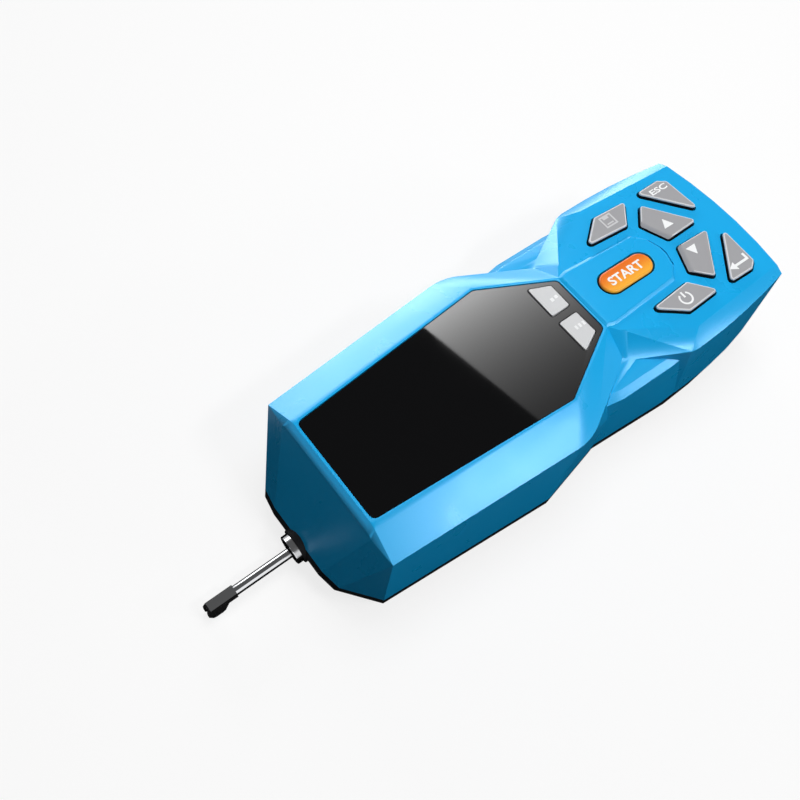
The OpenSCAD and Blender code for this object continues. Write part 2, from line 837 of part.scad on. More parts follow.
module sensor_nose() {
  top = pickup_z + tube_d / 2;
  low = pickup_z - tube_d / 2;
  profile = [
    [nose_back, low],
    [nose_back, top],
    [nose_back - 8.4, top],
    [nose_back - 9.4, top - 1.2],
    [nose_back - 9.6, low - 0.6],
    [nose_back - 8.6, sole_z + 0.5],
    [nose_back - 7.6, sole_z],
    [nose_back - 5.6, sole_z],
    [nose_back - 4.6, sole_z + 0.5],
    [nose_back - 3, low]
  ];
  color(steel) difference() {
    side_plate(profile, tube_d);
    translate([-slot_w / 2, nose_back - 12, 0]) cube([slot_w, 11.9, top - 0.6]);
    translate([-tube_d, pivot_y, pickup_z]) rotate([0, 90, 0]) cylinder(r = pin_r + fit_gap, h = 2 * tube_d);
  }
}

module pivot_pin() {
  color(steel) translate([-tube_d / 2, pivot_y, pickup_z]) rotate([0, 90, 0]) cylinder(r = pin_r, h = tube_d);
}

module stylus_arm() {
  bar = 0.45;
  color(steel) difference() {
    union() {
      translate([-arm_w / 2, pivot_y, pickup_z]) rotate([0, 90, 0]) cylinder(r = 0.85, h = arm_w);
      translate([-arm_w / 2, tip_y - bar, pickup_z - bar - 0.2])
        cube([arm_w, pivot_y - tip_y + bar, 2 * bar]);
      translate([-arm_w / 2, tip_y - bar, tip_z + 0.9]) cube([arm_w, 2 * bar, pickup_z - tip_z - 0.9]);
    }
    translate([-arm_w, pivot_y, pickup_z]) rotate([0, 90, 0]) cylinder(r = pin_r + run_gap, h = 2 * arm_w);
  }
}

module stylus_tip() {
  color("#E8E4D8") translate([0, tip_y, tip_z]) cylinder(r1 = 0.06, r2 = 0.4, h = 0.9);
}

// Fasteners
module screw_up(d, head_d, head_h, l) {
  cylinder(d = head_d, h = head_h);
  translate([0, 0, head_h - 0.1]) cylinder(d = d, h = l + 0.1);
}

module case_screws() {
  color(steel) for (p = boss_spots)
    translate([p[0], p[1], case_head_sink]) screw_up(case_screw_d, case_head_d, case_head_h, case_thread_l);
}

module board_screws() {
  color(steel) for (p = post_spots)
    translate([p[0], p[1], board_z - small_head_h])
      screw_up(small_screw_d, small_head_d, small_head_h, board_t + post_thread_l);
}

module drive_screws() {
  top = floor_t + frame_floor_t + small_head_h;
  color(steel) for (p = frame_screws)
    translate([p[0], p[1], top]) rotate([180, 0, 0])
      screw_up(small_screw_d, small_head_d, small_head_h, frame_floor_t + floor_t - 1);
}

upper_case();
base_cover();
window_glass();
lcd_panel();
main_board();
key_switches();
start_key();
save_key();
escape_key();
up_key();
down_key();
enter_key();
power_key();
soft_key_left();
soft_key_right();
battery_pack();
usb_socket();
drive_frame();
guide_rods();
screw_bushes();
lead_screw();
screw_gear();
drive_motor();
motor_pinion();
carriage();
lead_nut();
sensor_socket();
guide_collar();
sensor_tube();
sensor_nose();
pivot_pin();
stylus_arm();
stylus_tip();
case_screws();
board_screws();
drive_screws();
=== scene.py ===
# %% [markdown]
# # A pocket roughness tester
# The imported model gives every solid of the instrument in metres, in its own place. This lesson keeps those places,
# softens the mouldings as a mould maker would, gives each surface its finish, and sets up the studio.

# %% Load the frame
import math

import bmesh
import bpy
from mathutils import Matrix, Vector
from mathutils.bvhtree import BVHTree


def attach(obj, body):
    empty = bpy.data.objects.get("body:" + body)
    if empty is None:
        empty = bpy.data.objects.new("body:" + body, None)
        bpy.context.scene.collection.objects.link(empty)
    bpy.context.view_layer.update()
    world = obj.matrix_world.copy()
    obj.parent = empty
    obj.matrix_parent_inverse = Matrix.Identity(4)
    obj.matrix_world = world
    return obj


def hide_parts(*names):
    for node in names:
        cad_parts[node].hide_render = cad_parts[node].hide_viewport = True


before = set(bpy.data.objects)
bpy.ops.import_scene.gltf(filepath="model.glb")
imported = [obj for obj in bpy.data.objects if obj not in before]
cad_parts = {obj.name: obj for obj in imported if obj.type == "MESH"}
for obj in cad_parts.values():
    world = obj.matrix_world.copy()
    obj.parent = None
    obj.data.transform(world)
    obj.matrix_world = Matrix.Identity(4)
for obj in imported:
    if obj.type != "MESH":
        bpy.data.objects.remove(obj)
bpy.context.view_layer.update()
MM = 0.001

# %% [markdown]
# ## Camera
# The instrument lies on a table and is seen from above its front right corner. The three directions below are the
# camera's right, up and backward axes, and together they are its rotation matrix. That is exact, where turning the
# camera by eye would not be.

# %% Place the camera
RIGHT, UP, BACKWARD = (0.6014, 0.7990, 0.0), (-0.7101, 0.5345, 0.4584), (0.36622, -0.27566, 0.88876)
LENS, SENSOR = 45.23, 36
camera_data = bpy.data.cameras.new("camera")
camera_data.lens = LENS
camera_data.sensor_width = SENSOR
camera_data.clip_start = 0.01
camera = bpy.data.objects.new("camera", camera_data)
bpy.context.scene.collection.objects.link(camera)
camera_place = Matrix.Translation((0.09106, -0.11036, 0.27497))
camera.matrix_world = camera_place @ Matrix((RIGHT, UP, BACKWARD)).transposed().to_4x4()
bpy.context.scene.camera = camera
print("camera at", [round(v, 3) for v in camera.location])

# %% [markdown]
# ## Shader nodes
# The studio and the finishes are both made of shader nodes. These helpers add a node, calculate with values, stretch
# a value between new ends, and start and end a material, so that each later step stays short.


# %% Write helpers for shader nodes
def node(tree, kind, place=(0, 0), **values):
    """Adds one shader node, sets its plain properties, and returns it."""
    made = tree.nodes.new(kind)
    made.location = place
    for key, value in values.items():
        setattr(made, key, value)
    return made


def math_node(tree, operation, place, *values):
    """Adds a Math node whose values are numbers or sockets, and returns its result's socket."""
    made = node(tree, "ShaderNodeMath", place, operation=operation)
    for index, value in enumerate(values):
        if isinstance(value, (int, float)):
            made.inputs[index].default_value = value
        else:
            tree.links.new(value, made.inputs[index])
    return made.outputs[0]


def stretch_node(tree, value, place, low, high, to_low=0.0, to_high=1.0, kind="LINEAR"):
    """Stretches a value from low and high to two new ends, and returns the result's socket."""
    made = node(tree, "ShaderNodeMapRange", place, interpolation_type=kind)
    for label, level in (("From Min", low), ("From Max", high), ("To Min", to_low), ("To Max", to_high)):
        made.inputs[label].default_value = level
    tree.links.new(value, made.inputs["Value"])
    return made.outputs[0]


def bare_material(name):
    """Returns a new material and its emptied node tree."""
    made = bpy.data.materials.new(name)
    made.use_nodes = True
    made.node_tree.nodes.clear()
    return made, made.node_tree


def show(tree, shader):
    """Ends a material's tree with a shader node."""
    tree.links.new(shader.outputs[0], node(tree, "ShaderNodeOutputMaterial", (300, 0)).inputs["Surface"])


print("helpers: node, math_node, stretch_node, bare_material, show")

# %% [markdown]
# ## Floor
# A plain white table. Lit alone it would look grey beside the instrument, so to the camera and in mirrors it is part
# glow and part lit surface: the glow makes it white, and the lit part keeps the soft shadow. For the light that it
# throws back on the instrument it counts as dark, as a black table cover would, so that the side walls stay deep. The
# three levels of each are for the camera, for mirrors and clear glass, and for all other light.


# %% Lay the floor
FLOOR_LIT, FLOOR_GLOW = (0.94, 0.36, 0.12), (0.80, 0.20, 0.0)


def ray_level(tree, camera_level, mirror_level, other_level):
    """Returns a socket with one level for camera rays, one for mirror and clear-glass rays, and one for the rest."""
    path = node(tree, "ShaderNodeLightPath", (-1100, 300))
    sees = path.outputs
    mirror = math_node(tree, "MAXIMUM", (-900, 300), sees["Is Glossy Ray"], sees["Is Transmission Ray"])
    dim = math_node(tree, "MULTIPLY_ADD", (-720, 300), mirror, mirror_level - other_level, other_level)
    return math_node(tree, "MULTIPLY_ADD", (-540, 300), sees["Is Camera Ray"], camera_level - other_level, dim)


bpy.ops.object.select_all(action="DESELECT")
bpy.ops.mesh.primitive_plane_add(size=6, location=(0, 0, -0.05 * MM))
floor = bpy.context.object
floor.name = "floor"
floor_paint, tree = bare_material("floor_paint")
lit = node(tree, "ShaderNodeBsdfDiffuse", (-300, 0))
tree.links.new(ray_level(tree, *FLOOR_LIT), lit.inputs["Color"])
glow = node(tree, "ShaderNodeEmission", (-300, -160))
both = node(tree, "ShaderNodeMixShader", (0, 0))
tree.links.new(ray_level(tree, *FLOOR_GLOW), both.inputs["Fac"])
tree.links.new(lit.outputs[0], both.inputs[1])
tree.links.new(glow.outputs[0], both.inputs[2])
show(tree, both)
floor.data.materials.append(floor_paint)
print("floor is", floor.dimensions.x, "m wide")

# %% [markdown]
# ## Studio light
# A soft box overhead lights the deck. The slanted facets are painted and satin, so each turns pale only when a lamp
# hangs where it would show as a mirror image. The narrow bars on the right and the left are hung at just those places,
# and a broad box low at the back left fills the facets that face away from the viewer. The overhead box is hidden from
# mirrors, because the polished window would show it.


# %% Hang the lamps
def soft_box(name, direction, distance, size, watts):
    """Hangs a rectangular lamp so that it faces the instrument's middle, out of the camera's sight."""
    lamp = bpy.data.lights.new(name, "AREA")
    lamp.shape = "RECTANGLE"
    lamp.size, lamp.size_y = size
    lamp.energy = watts
    box = bpy.data.objects.new(name, lamp)
    bpy.context.scene.collection.objects.link(box)
    box.visible_camera = False
    away = Vector(direction).normalized()
    box.location = away * distance
    box.rotation_euler = away.to_track_quat("Z", "Y").to_euler()
    print(name, "at", [round(v, 2) for v in box.location])
    return box


overhead_box = soft_box("key_box", (-0.08, 0.17, 0.98), 0.45, (0.22, 0.22), 1.03)
overhead_box.visible_glossy = False
soft_box("right_bar", (0.53, 0.26, 0.81), 0.94, (0.24, 0.05), 2.4)
soft_box("left_strip", (-0.93, 0.25, 0.26), 0.83, (0.32, 0.12), 1.9)
soft_box("left_back", (-0.77, 0.62, 0.13), 0.85, (0.40, 0.16), 1.9)
soft_box("right_back", (0.73, 0.58, 0.39), 0.83, (0.16, 0.06), 0.9)

# %% [markdown]
# The room itself gives only a little light. In mirrors it is bright at the horizon and dark overhead, which keeps the
# level window black.

# %% Tone the room
ROOM, HORIZON, CEILING = 0.15, 0.90, 0.12
HORIZON_Z, CEILING_Z = 0.45, 0.80
world = bpy.data.worlds.new("studio")
bpy.context.scene.world = world
world.use_nodes = True
tree = world.node_tree
tree.nodes.clear()
way = node(tree, "ShaderNodeTexCoord", (-900, 0))
parts = node(tree, "ShaderNodeSeparateXYZ", (-700, 0))
tree.links.new(way.outputs["Generated"], parts.inputs[0])
overhead = stretch_node(tree, parts.outputs["Z"], (-500, 0), HORIZON_Z, CEILING_Z, HORIZON, CEILING, "SMOOTHSTEP")
level = node(tree, "ShaderNodeMix", (-280, 0), data_type="FLOAT")
level.inputs["A"].default_value = ROOM
tree.links.new(ray_level(tree, 1.0, 1.0, 0.0), level.inputs["Factor"])
tree.links.new(overhead, level.inputs["B"])
sky = node(tree, "ShaderNodeBackground", (-80, 0))
tree.links.new(level.outputs["Result"], sky.inputs["Strength"])
tree.links.new(sky.outputs[0], node(tree, "ShaderNodeOutputWorld", (120, 0)).inputs["Surface"])
bpy.context.scene.view_settings.view_transform = "Standard"
print("room light", ROOM, "- mirrors see", HORIZON, "at the horizon and", CEILING, "overhead")

# %% [markdown]
# A studio also hangs a white card where a glossy window should show a reflection. This one hangs behind the
# instrument, slanted at its front edge and brighter on the left, and only mirrors see it. The window then reflects it
# from its middle to its back, and stays black in front.


# %% Hang the reflection card
CARD_PLACE, CARD_SIZE, CARD_GLOW = (-0.335, 0.43, 0.9), (0.27, 0.20), 9.2
EDGE_X, EDGE_Y, EDGE_SLOPE = -0.4488, 0.3134, 0.1647
BRIGHT_X, DIM_X, DIM_SHARE = -0.4255, -0.2395, 0.078


def hang(name, location, size, turn=0):
    """Hangs a flat card, turned about y by turn degrees, that only mirrors see."""
    bpy.ops.object.select_all(action="DESELECT")
    bpy.ops.mesh.primitive_plane_add(size=1, location=location, rotation=(0, math.radians(turn), 0))
    made = bpy.context.object
    made.name = name
    made.scale = (*size, 1)
    bpy.ops.object.transform_apply(location=True, rotation=True, scale=True)
    for kind in ("camera", "diffuse", "shadow", "transmission"):
        setattr(made, "visible_" + kind, False)
    print(name, [round(v, 2) for v in made.dimensions], "m")
    return made


card = hang("reflection_card", CARD_PLACE, CARD_SIZE)
for corner in card.data.vertices:
    if corner.co.y < CARD_PLACE[1]:
        corner.co.y = EDGE_Y + (corner.co.x - EDGE_X) * EDGE_SLOPE
card_paint, tree = bare_material("card_glow")
place = node(tree, "ShaderNodeTexCoord", (-900, 0))
parts = node(tree, "ShaderNodeSeparateXYZ", (-700, 0))
tree.links.new(place.outputs["Object"], parts.inputs[0])
across = stretch_node(tree, parts.outputs["X"], (-500, 0), BRIGHT_X, DIM_X)
fade = math_node(tree, "POWER", (-300, 0), DIM_SHARE, across)
glow = node(tree, "ShaderNodeEmission", (60, 0))
tree.links.new(math_node(tree, "MULTIPLY", (-120, 0), fade, CARD_GLOW), glow.inputs["Strength"])
show(tree, glow)
card.data.materials.append(card_paint)
print("card corners", [[round(c, 2) for c in v.co] for v in card.data.vertices])

# %% [markdown]
# The chromed tube and collar mirror mostly the dark ceiling and the table. A small white card stands close beside them
# and gives them their white flank. Another one on the left brightens the shoulder beside the window's rear corner.
# Each row gives a card's name, place, size, turn and strength.

# %% Hang the small cards
SMALL_CARDS = (
    ("side_card", (0.052, -0.098, 0.034), (0.066, 0.044), -90, 1.0),
    ("left_card", (-0.285, -0.032, 0.150), (0.10, 0.10), -67, 4.0),
)
for name, location, size, turn, strength in SMALL_CARDS:
    small = hang(name, location, size, turn)
    small_paint, tree = bare_material(name + "_glow")
    glow = node(tree, "ShaderNodeEmission")
    glow.inputs["Strength"].default_value = strength
    show(tree, glow)
    small.data.materials.append(small_paint)

# %% [markdown]
# The side walls would mirror the white table right beside them and turn hazy. Photographers lay dark paper under such
# a wall. This sheet does the same: only mirrors see it, and it ends close around the instrument.

# %% Lay the dark paper
paper = hang("dark_paper", (0, -0.030, -0.02 * MM), (0.110, 0.268))
paper_black = bpy.data.materials.new("paper_black")
paper_black.use_nodes = True
shader = paper_black.node_tree.nodes["Principled BSDF"]
shader.inputs["Base Color"].default_value = (0.01, 0.01, 0.01, 1)
shader.inputs["Roughness"].default_value = 0.9
shader.inputs["Specular IOR Level"].default_value = 0.0
paper.data.materials.append(paper_black)

# %% [markdown]
# ## Effects that several finishes share
# Moulded plastic carries the grain of its mould, and all of it picks up faint marks from hands. Both are node groups:
# they put out a height, a tone or a mask, and each material uses them at its own scale.


# %% Moulded grain and hand marks
def new_group(name, inputs, outputs):
    """Makes an empty shader node group with float or vector inputs and float outputs."""
    group = bpy.data.node_groups.new(name, "ShaderNodeTree")
    for label, kind, value in inputs:
        socket = group.interface.new_socket(label, in_out="INPUT", socket_type=kind)
        if value is not None:
            socket.default_value = value
    for label in outputs:
        group.interface.new_socket(label, in_out="OUTPUT", socket_type="NodeSocketFloat")
    return group, node(group, "NodeGroupInput", (-800, 0)), node(group, "NodeGroupOutput", (500, 0))


def follow(group, entry, *textures):
    """Gives textures the group's own Vector and Scale."""
    for texture in textures:
        for label in ("Vector", "Scale"):
            group.links.new(entry.outputs[label], texture.inputs[label])


def give_tone(group, entry, leave, value):
    """Hands out a tone near 1 that follows a value near 0.5, as strongly as the group's Contrast says."""
    centred = math_node(group, "SUBTRACT", (-300, -160), value, 0.5)
    tone = math_node(group, "MULTIPLY_ADD", (-80, -160), centred, entry.outputs["Contrast"], 1.0)
    group.links.new(tone, leave.inputs["Tone"])


grain, entry, leave = new_group(
    "moulded_grain",
    [("Vector", "NodeSocketVector", None), ("Scale", "NodeSocketFloat", 4000.0), ("Contrast", "NodeSocketFloat", 0.06)],
    ["Height", "Tone"],
)
pits = node(grain, "ShaderNodeTexVoronoi", (-560, 120), feature="F1")
cloud = node(grain, "ShaderNodeTexNoise", (-560, -160))
cloud.inputs["Detail"].default_value = 2.0
follow(grain, entry, pits, cloud)
height = math_node(grain, "ADD", (-300, 100), pits.outputs["Distance"], cloud.outputs["Fac"])
grain.links.new(height, leave.inputs["Height"])
give_tone(grain, entry, leave, cloud.outputs["Fac"])

marks, entry, leave = new_group(
    "hand_marks",
    [("Vector", "NodeSocketVector", None), ("Scale", "NodeSocketFloat", 90.0)],
    ["Mask"],
)
smear = node(marks, "ShaderNodeTexNoise", (-560, 0))
smear.inputs["Detail"].default_value = 4.0
smear.inputs["Distortion"].default_value = 0.6
follow(marks, entry, smear)
mask = stretch_node(marks, smear.outputs["Fac"], (-300, 0), 0.42, 0.68, kind="SMOOTHSTEP")
marks.links.new(mask, leave.inputs["Mask"])
print("groups:", grain.name, marks.name)

# %% [markdown]
# Turned and drawn metal has fine lines round or along it. A noise gives them, because each metal stretches its
# coordinates along one axis. The group hands out a height for the bump and a tone for the colour.

# %% Drawn lines
lines, entry, leave = new_group(
    "drawn_lines",
    [("Vector", "NodeSocketVector", None), ("Scale", "NodeSocketFloat", 6000.0), ("Contrast", "NodeSocketFloat", 0.15)],
    ["Height", "Tone"],
)
streak = node(lines, "ShaderNodeTexNoise", (-560, 0))
streak.inputs["Detail"].default_value = 2.0
follow(lines, entry, streak)
lines.links.new(streak.outputs["Fac"], leave.inputs["Height"])
give_tone(lines, entry, leave, streak.outputs["Fac"])
print("group:", lines.name)

# %% [markdown]
# ## Finishes
# Every plastic here is one recipe with its own values: a tint that the grain breaks up a little, a roughness that the
# hand marks lower and raise, and a bump from the grain. Gloss is a constant, so it is set on the shader itself.


# %% Plastic recipe
def start_material(name):
    """Returns a new material, its node tree, its Principled shader and its Object coordinates."""
    made = bpy.data.materials.new(name)
    made.use_nodes = True
    tree = made.node_tree
    shader = tree.nodes["Principled BSDF"]
    place = node(tree, "ShaderNodeTexCoord", (-1100, 0))
    return made, tree, shader, place.outputs["Object"]


def use_group(tree, group, vector, place, **values):
    """Places a node group in a material and sets its inputs."""
    made = node(tree, "ShaderNodeGroup", place, node_tree=group)
    tree.links.new(vector, made.inputs["Vector"])
    for key, value in values.items():
        made.inputs[key].default_value = value
    return made


def tint_by(tree, shader, tint, tone):
    """Multiplies a plain tint by a tone near 1 and feeds the shader's colour."""
    blend = node(tree, "ShaderNodeMix", (-300, 200), data_type="RGBA", blend_type="MULTIPLY")
    blend.inputs["Factor"].default_value = 1.0
    blend.inputs["A"].default_value = (*tint, 1)
    tree.links.new(tone, blend.inputs["B"])
    tree.links.new(blend.outputs["Result"], shader.inputs["Base Color"])


def bump_by(tree, shader, height, strength, depth_mm):
    """Feeds a height to the shader's normal."""
    bump = node(tree, "ShaderNodeBump", (-300, -300))
    bump.inputs["Strength"].default_value = strength
    bump.inputs["Distance"].default_value = depth_mm * MM
    tree.links.new(height, bump.inputs["Height"])
    tree.links.new(bump.outputs[0], shader.inputs["Normal"])


def rough_by(tree, shader, mask, low, high):
    """Spreads a mask between two roughness values."""
    tree.links.new(stretch_node(tree, mask, (-300, -60), 0, 1, low, high), shader.inputs["Roughness"])


def plastic(name, tint, rough, gloss, grain_mm, depth_mm, contrast=0.06, pearl=0.0):
    """A moulded plastic: rough is (touched, untouched), gloss the specular level, grain_mm and depth_mm the size and
    depth of the grain, contrast how far it breaks up the tint, and pearl the share of metal flake in the paint."""
    made, tree, shader, where = start_material(name)
    texture = use_group(tree, grain, where, (-800, 100), Scale=1 / (grain_mm * MM), Contrast=contrast)
    touched = use_group(tree, marks, where, (-800, -160), Scale=70.0)
    tint_by(tree, shader, tint, texture.outputs["Tone"])
    rough_by(tree, shader, touched.outputs["Mask"], rough[1], rough[0])
    bump_by(tree, shader, texture.outputs["Height"], 0.3, depth_mm)
    shader.inputs["Specular IOR Level"].default_value = gloss
    shader.inputs["Metallic"].default_value = pearl
    return made


def metal(name, tint, rough, stretch, line_mm=0.12, contrast=0.15, depth_mm=0.002):
    """A drawn or turned metal: stretch is how much longer the lines are along x, y and z, and line_mm their width."""
    made, tree, shader, where = start_material(name)
    turn = node(tree, "ShaderNodeMapping", (-960, 100))
    turn.inputs["Scale"].default_value = [1 / s for s in stretch]
    tree.links.new(where, turn.inputs["Vector"])
    texture = use_group(tree, lines, turn.outputs[0], (-760, 100), Scale=1 / (line_mm * MM), Contrast=contrast)
    touched = use_group(tree, marks, where, (-760, -160), Scale=120.0)
    tint_by(tree, shader, tint, texture.outputs["Tone"])
    rough_by(tree, shader, touched.outputs["Mask"], rough[1], rough[0])
    bump_by(tree, shader, texture.outputs["Height"], 0.25, depth_mm)
    shader.inputs["Metallic"].default_value = 1.0
    return made


print("recipes: plastic, metal")

# %% [markdown]
# The case is painted in a blue with some pearl flake, which makes the facets that face a lamp turn pale and the others
# stay deep. The lower half is plain black with a fine grain. The keys are satin; their rounded rims are painted a paler
# grey as a painted highlight, and their parts below the deck black as painted shade in the gaps round them. The window
# is polished, so its grain is almost nothing.

# %% Mix the finishes
case_blue = plastic("case_blue", (0.002, 0.40, 0.82), (0.27, 0.30), 0.46, 0.20, 0.002, 0.05, 0.06)
base_black = plastic("base_black", (0.006, 0.0065, 0.008), (0.42, 0.52), 0.2, 0.24, 0.012, 0.20)
window_black = plastic("window_black", (0.0015, 0.0016, 0.002), (0.02, 0.03), 0.5, 0.5, 0.0002, 0.05)
key_grey = plastic("key_grey", (0.34, 0.34, 0.355), (0.34, 0.42), 0.4, 0.16, 0.004, 0.08)
# Painted highlight: a paler grey for the keys' rounded rims, standing in for the light they catch.
rim_painted_highlight = plastic("rim_painted_highlight", (0.66, 0.66, 0.68), (0.28, 0.36), 0.5, 0.16, 0.002, 0.06)
# Painted shade and real black: near black for the keys below the deck, the collar's bore and the sleeve round the
# collar, as the shade in those gaps, and the real black of the socket's tongue.
black_and_shade = plastic("black_and_shade", (0.006, 0.006, 0.007), (0.55, 0.65), 0.2, 0.20, 0.004, 0.15)
start_orange = plastic("start_orange", (0.78, 0.15, 0.004), (0.30, 0.38), 0.45, 0.18, 0.004, 0.06)
soft_silver = plastic("soft_silver", (0.60, 0.61, 0.62), (0.26, 0.34), 0.5, 0.12, 0.002, 0.08)
legend_white = plastic("legend_white", (0.86, 0.87, 0.88), (0.45, 0.55), 0.3, 0.10, 0.002, 0.05)
legend_pale = plastic("legend_pale", (0.58, 0.585, 0.60), (0.45, 0.55), 0.3, 0.10, 0.002, 0.05)
chrome = metal("chrome_plate", (0.80, 0.81, 0.83), (0.05, 0.09), (1, 12, 1), 0.10, 0.05, 0.0004)
ground_steel = metal("ground_steel", (0.60, 0.61, 0.63), (0.16, 0.24), (1, 10, 1), 0.10, 0.18)
zinc = metal("zinc", (0.52, 0.53, 0.55), (0.24, 0.34), (1, 1, 1), 0.30, 0.20)
milled = metal("milled", (0.56, 0.58, 0.60), (0.28, 0.38), (14, 1, 1), 0.14, 0.20)
anodised = metal("anodised", (0.17, 0.19, 0.22), (0.34, 0.44), (1, 1, 1), 0.16, 0.16)
brass = metal("turned_brass", (0.72, 0.50, 0.18), (0.20, 0.30), (1, 8, 1), 0.12, 0.18)
print("finishes:", ", ".join(m.name for m in bpy.data.materials if m.node_tree))

# %% [markdown]
# The start key is painted lighter and yellower towards its +x side, as painted light where light falls on it. A second
# tint that fades in across the key gives that, from the key's own coordinates.

# %% Paint light across the start key
# Painted light: the start key's orange turns lighter and yellower towards +x, where light falls on it.
FADE_START, FADE_END, LIT_SIDE_TINT = -3.0, 4.2, (0.95, 0.44, 0.03)
tree = start_orange.node_tree
blend = next(n for n in tree.nodes if n.type == "MIX")
place = next(n for n in tree.nodes if n.type == "TEX_COORD")
parts = node(tree, "ShaderNodeSeparateXYZ", (-900, 420))
tree.links.new(place.outputs["Object"], parts.inputs[0])
ends = (FADE_START * MM, FADE_END * MM)
across = stretch_node(tree, parts.outputs["X"], (-720, 420), *ends, kind="SMOOTHSTEP")
fade = node(tree, "ShaderNodeMix", (-520, 420), data_type="RGBA")
fade.inputs["A"].default_value = blend.inputs["A"].default_value
fade.inputs["B"].default_value = (*LIT_SIDE_TINT, 1)
tree.links.new(across, fade.inputs["Factor"])
tree.links.new(fade.outputs["Result"], blend.inputs["A"])
print("orange fades from", FADE_START, "to", FADE_END, "mm")

# %% [markdown]
# ## Softened mouldings
# A moulded edge is never knife sharp. A node from the CAD is loose triangles, so each copy is merged and its flat
# faces joined before its edges are picked by place and bevelled.


# %% Copy a node and soften its edges
def only(piece):
    """Selects one object and makes it active."""
    bpy.ops.object.select_all(action="DESELECT")
    piece.select_set(True)
    bpy.context.view_layer.objects.active = piece


def node_copy(cad_node, name):
    """Copies a CAD node to a new piece, merges its points and joins its flat faces."""
    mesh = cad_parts[cad_node].data.copy()
    mesh.materials.clear()
    piece = bpy.data.objects.new(name, mesh)
    bpy.context.scene.collection.objects.link(piece)
    only(piece)
    bpy.ops.mesh.customdata_custom_splitnormals_clear()
    bpy.ops.object.mode_set(mode="EDIT")
    bpy.ops.mesh.select_all(action="SELECT")
    bpy.ops.mesh.remove_doubles(threshold=0.002 * MM)
    bpy.ops.mesh.dissolve_limited(angle_limit=math.radians(0.4))
    bpy.ops.object.mode_set(mode="OBJECT")
    return piece


def soften(piece, wanted, width_mm, segments, least=20):
    """Bevels the convex edges sharper than least degrees that wanted(middle, edge, outward, tree) accepts."""
    only(piece)
    bpy.ops.object.mode_set(mode="EDIT")
    bpy.ops.mesh.select_all(action="DESELECT")
    bpy.ops.mesh.select_mode(type="EDGE")
    mesh = bmesh.from_edit_mesh(piece.data)
    tree = BVHTree.FromBMesh(mesh)
    picked = 0
    for edge in mesh.edges:
        if len(edge.link_faces) != 2 or not edge.is_convex or edge.calc_face_angle(0) < math.radians(least):
            continue
        middle = (edge.verts[0].co + edge.verts[1].co) / 2 / MM
        outward = (edge.link_faces[0].normal + edge.link_faces[1].normal).normalized()
        if wanted(middle, edge, outward, tree):
            edge.select_set(True)
            picked += 1
    mesh.select_flush_mode()
    bmesh.update_edit_mesh(piece.data)
    if picked:
        bpy.ops.mesh.bevel(offset=width_mm * MM, segments=segments, profile=0.5, affect="EDGES", clamp_overlap=True)
    bpy.ops.object.mode_set(mode="OBJECT")
    print(piece.name, "softened", picked, "edges by", width_mm, "mm")


def smooth(piece, degrees=28):
    """Shades the soft bends round and keeps flat faces flat."""
    only(piece)
    bpy.ops.object.shade_smooth_by_angle(angle=math.radians(degrees))
    bpy.ops.object.modifier_add(type="WEIGHTED_NORMAL")
    piece.modifiers[-1].keep_sharp = True
    bpy.ops.object.modifier_apply(modifier=piece.modifiers[-1].name)


def dress(piece, finish, body, slot, *cad_nodes):
    """Gives a finished piece its material and its body, and hides the nodes it stands for; the slot is not used."""
    piece.data.materials.append(finish)
    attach(piece, body)
    if cad_nodes:
        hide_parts(*cad_nodes)


def paint(piece, finish, wanted):
    """Gives the faces that wanted(middle, normal) accepts a finish of their own."""
    piece.data.materials.append(finish)
    place = len(piece.data.materials) - 1
    chosen = [face for face in piece.data.polygons if wanted(face.center / MM, face.normal)]
    for face in chosen:
        face.material_index = place
    print(piece.name, "has", len(chosen), "faces in", finish.name)


print("helpers: node_copy, soften, smooth, dress, paint")

# %% [markdown]
# ## Upper case
# The blue shell has long facets that meet in crisp but rounded lines. Only edges that face the open air are bevelled:
# a ray straight up from the edge tells them from the ribs and bosses inside. The thumb ledges and the brow over the
# front face are rounder. The lip of the key openings and the seam to the lower half are only broken.
#
# Each small function picks one kind of edge, by the place of its middle in mm and the way it faces. A field is a
# half width, a front and a back. An edge below SHORTEST is too short for a bevel and stays as it is.


# %% Shape the upper case
DECK_Y, DECK_Z, DECK_TILT = 21.6, 39.5, math.radians(4)
SEAM_Z = 11.2
SHORTEST = 0.9
WINDOW_FIELD, KEYPAD_FIELD = (22.6, -63, 21.5), (21, 22, 75)
LEDGE_X, LEDGE_Y, LEDGE_Z = (23.5, 29), (5, 37), (29, 35)
BROW_HALF, BROW_Y, BROW_Z = 20, -64, 33


def deck_height(y):
    """Height of the sloped keypad deck at y, in mm."""
    return DECK_Z - (y - DECK_Y) * math.tan(DECK_TILT)


def within(middle, half_width, front, back):
    """Tells whether a point lies in a field of that half width, from front to back along y."""
    return abs(middle.x) < half_width and front < middle.y < back


def in_keypad(middle):
    return within(middle, *KEYPAD_FIELD)


def in_the_open(tree, middle, outward, way):
    """Tells whether a ray from just outside an edge gets away without meeting the piece again."""
    return tree.ray_cast((middle * MM) + outward * 0.1 * MM, Vector(way))[0] is None


def outside_line(middle, edge, outward, tree):
    if middle.z < SEAM_Z + 0.2 or edge.calc_length() < SHORTEST * MM:
        return False
    in_window = within(middle, *WINDOW_FIELD)
    return not in_window and not in_keypad(middle) and in_the_open(tree, middle, outward, (0, 0, 1))


def between(value, ends):
    return ends[0] < value < ends[1]


def on_ledge(middle):
    return between(abs(middle.x), LEDGE_X) and between(middle.y, LEDGE_Y) and between(middle.z, LEDGE_Z)


def thumb_ledge(middle, edge, outward, tree):
    return on_ledge(middle) and outside_line(middle, edge, outward, tree)


def other_line(middle, edge, outward, tree):
    return not on_ledge(middle) and outside_line(middle, edge, outward, tree)


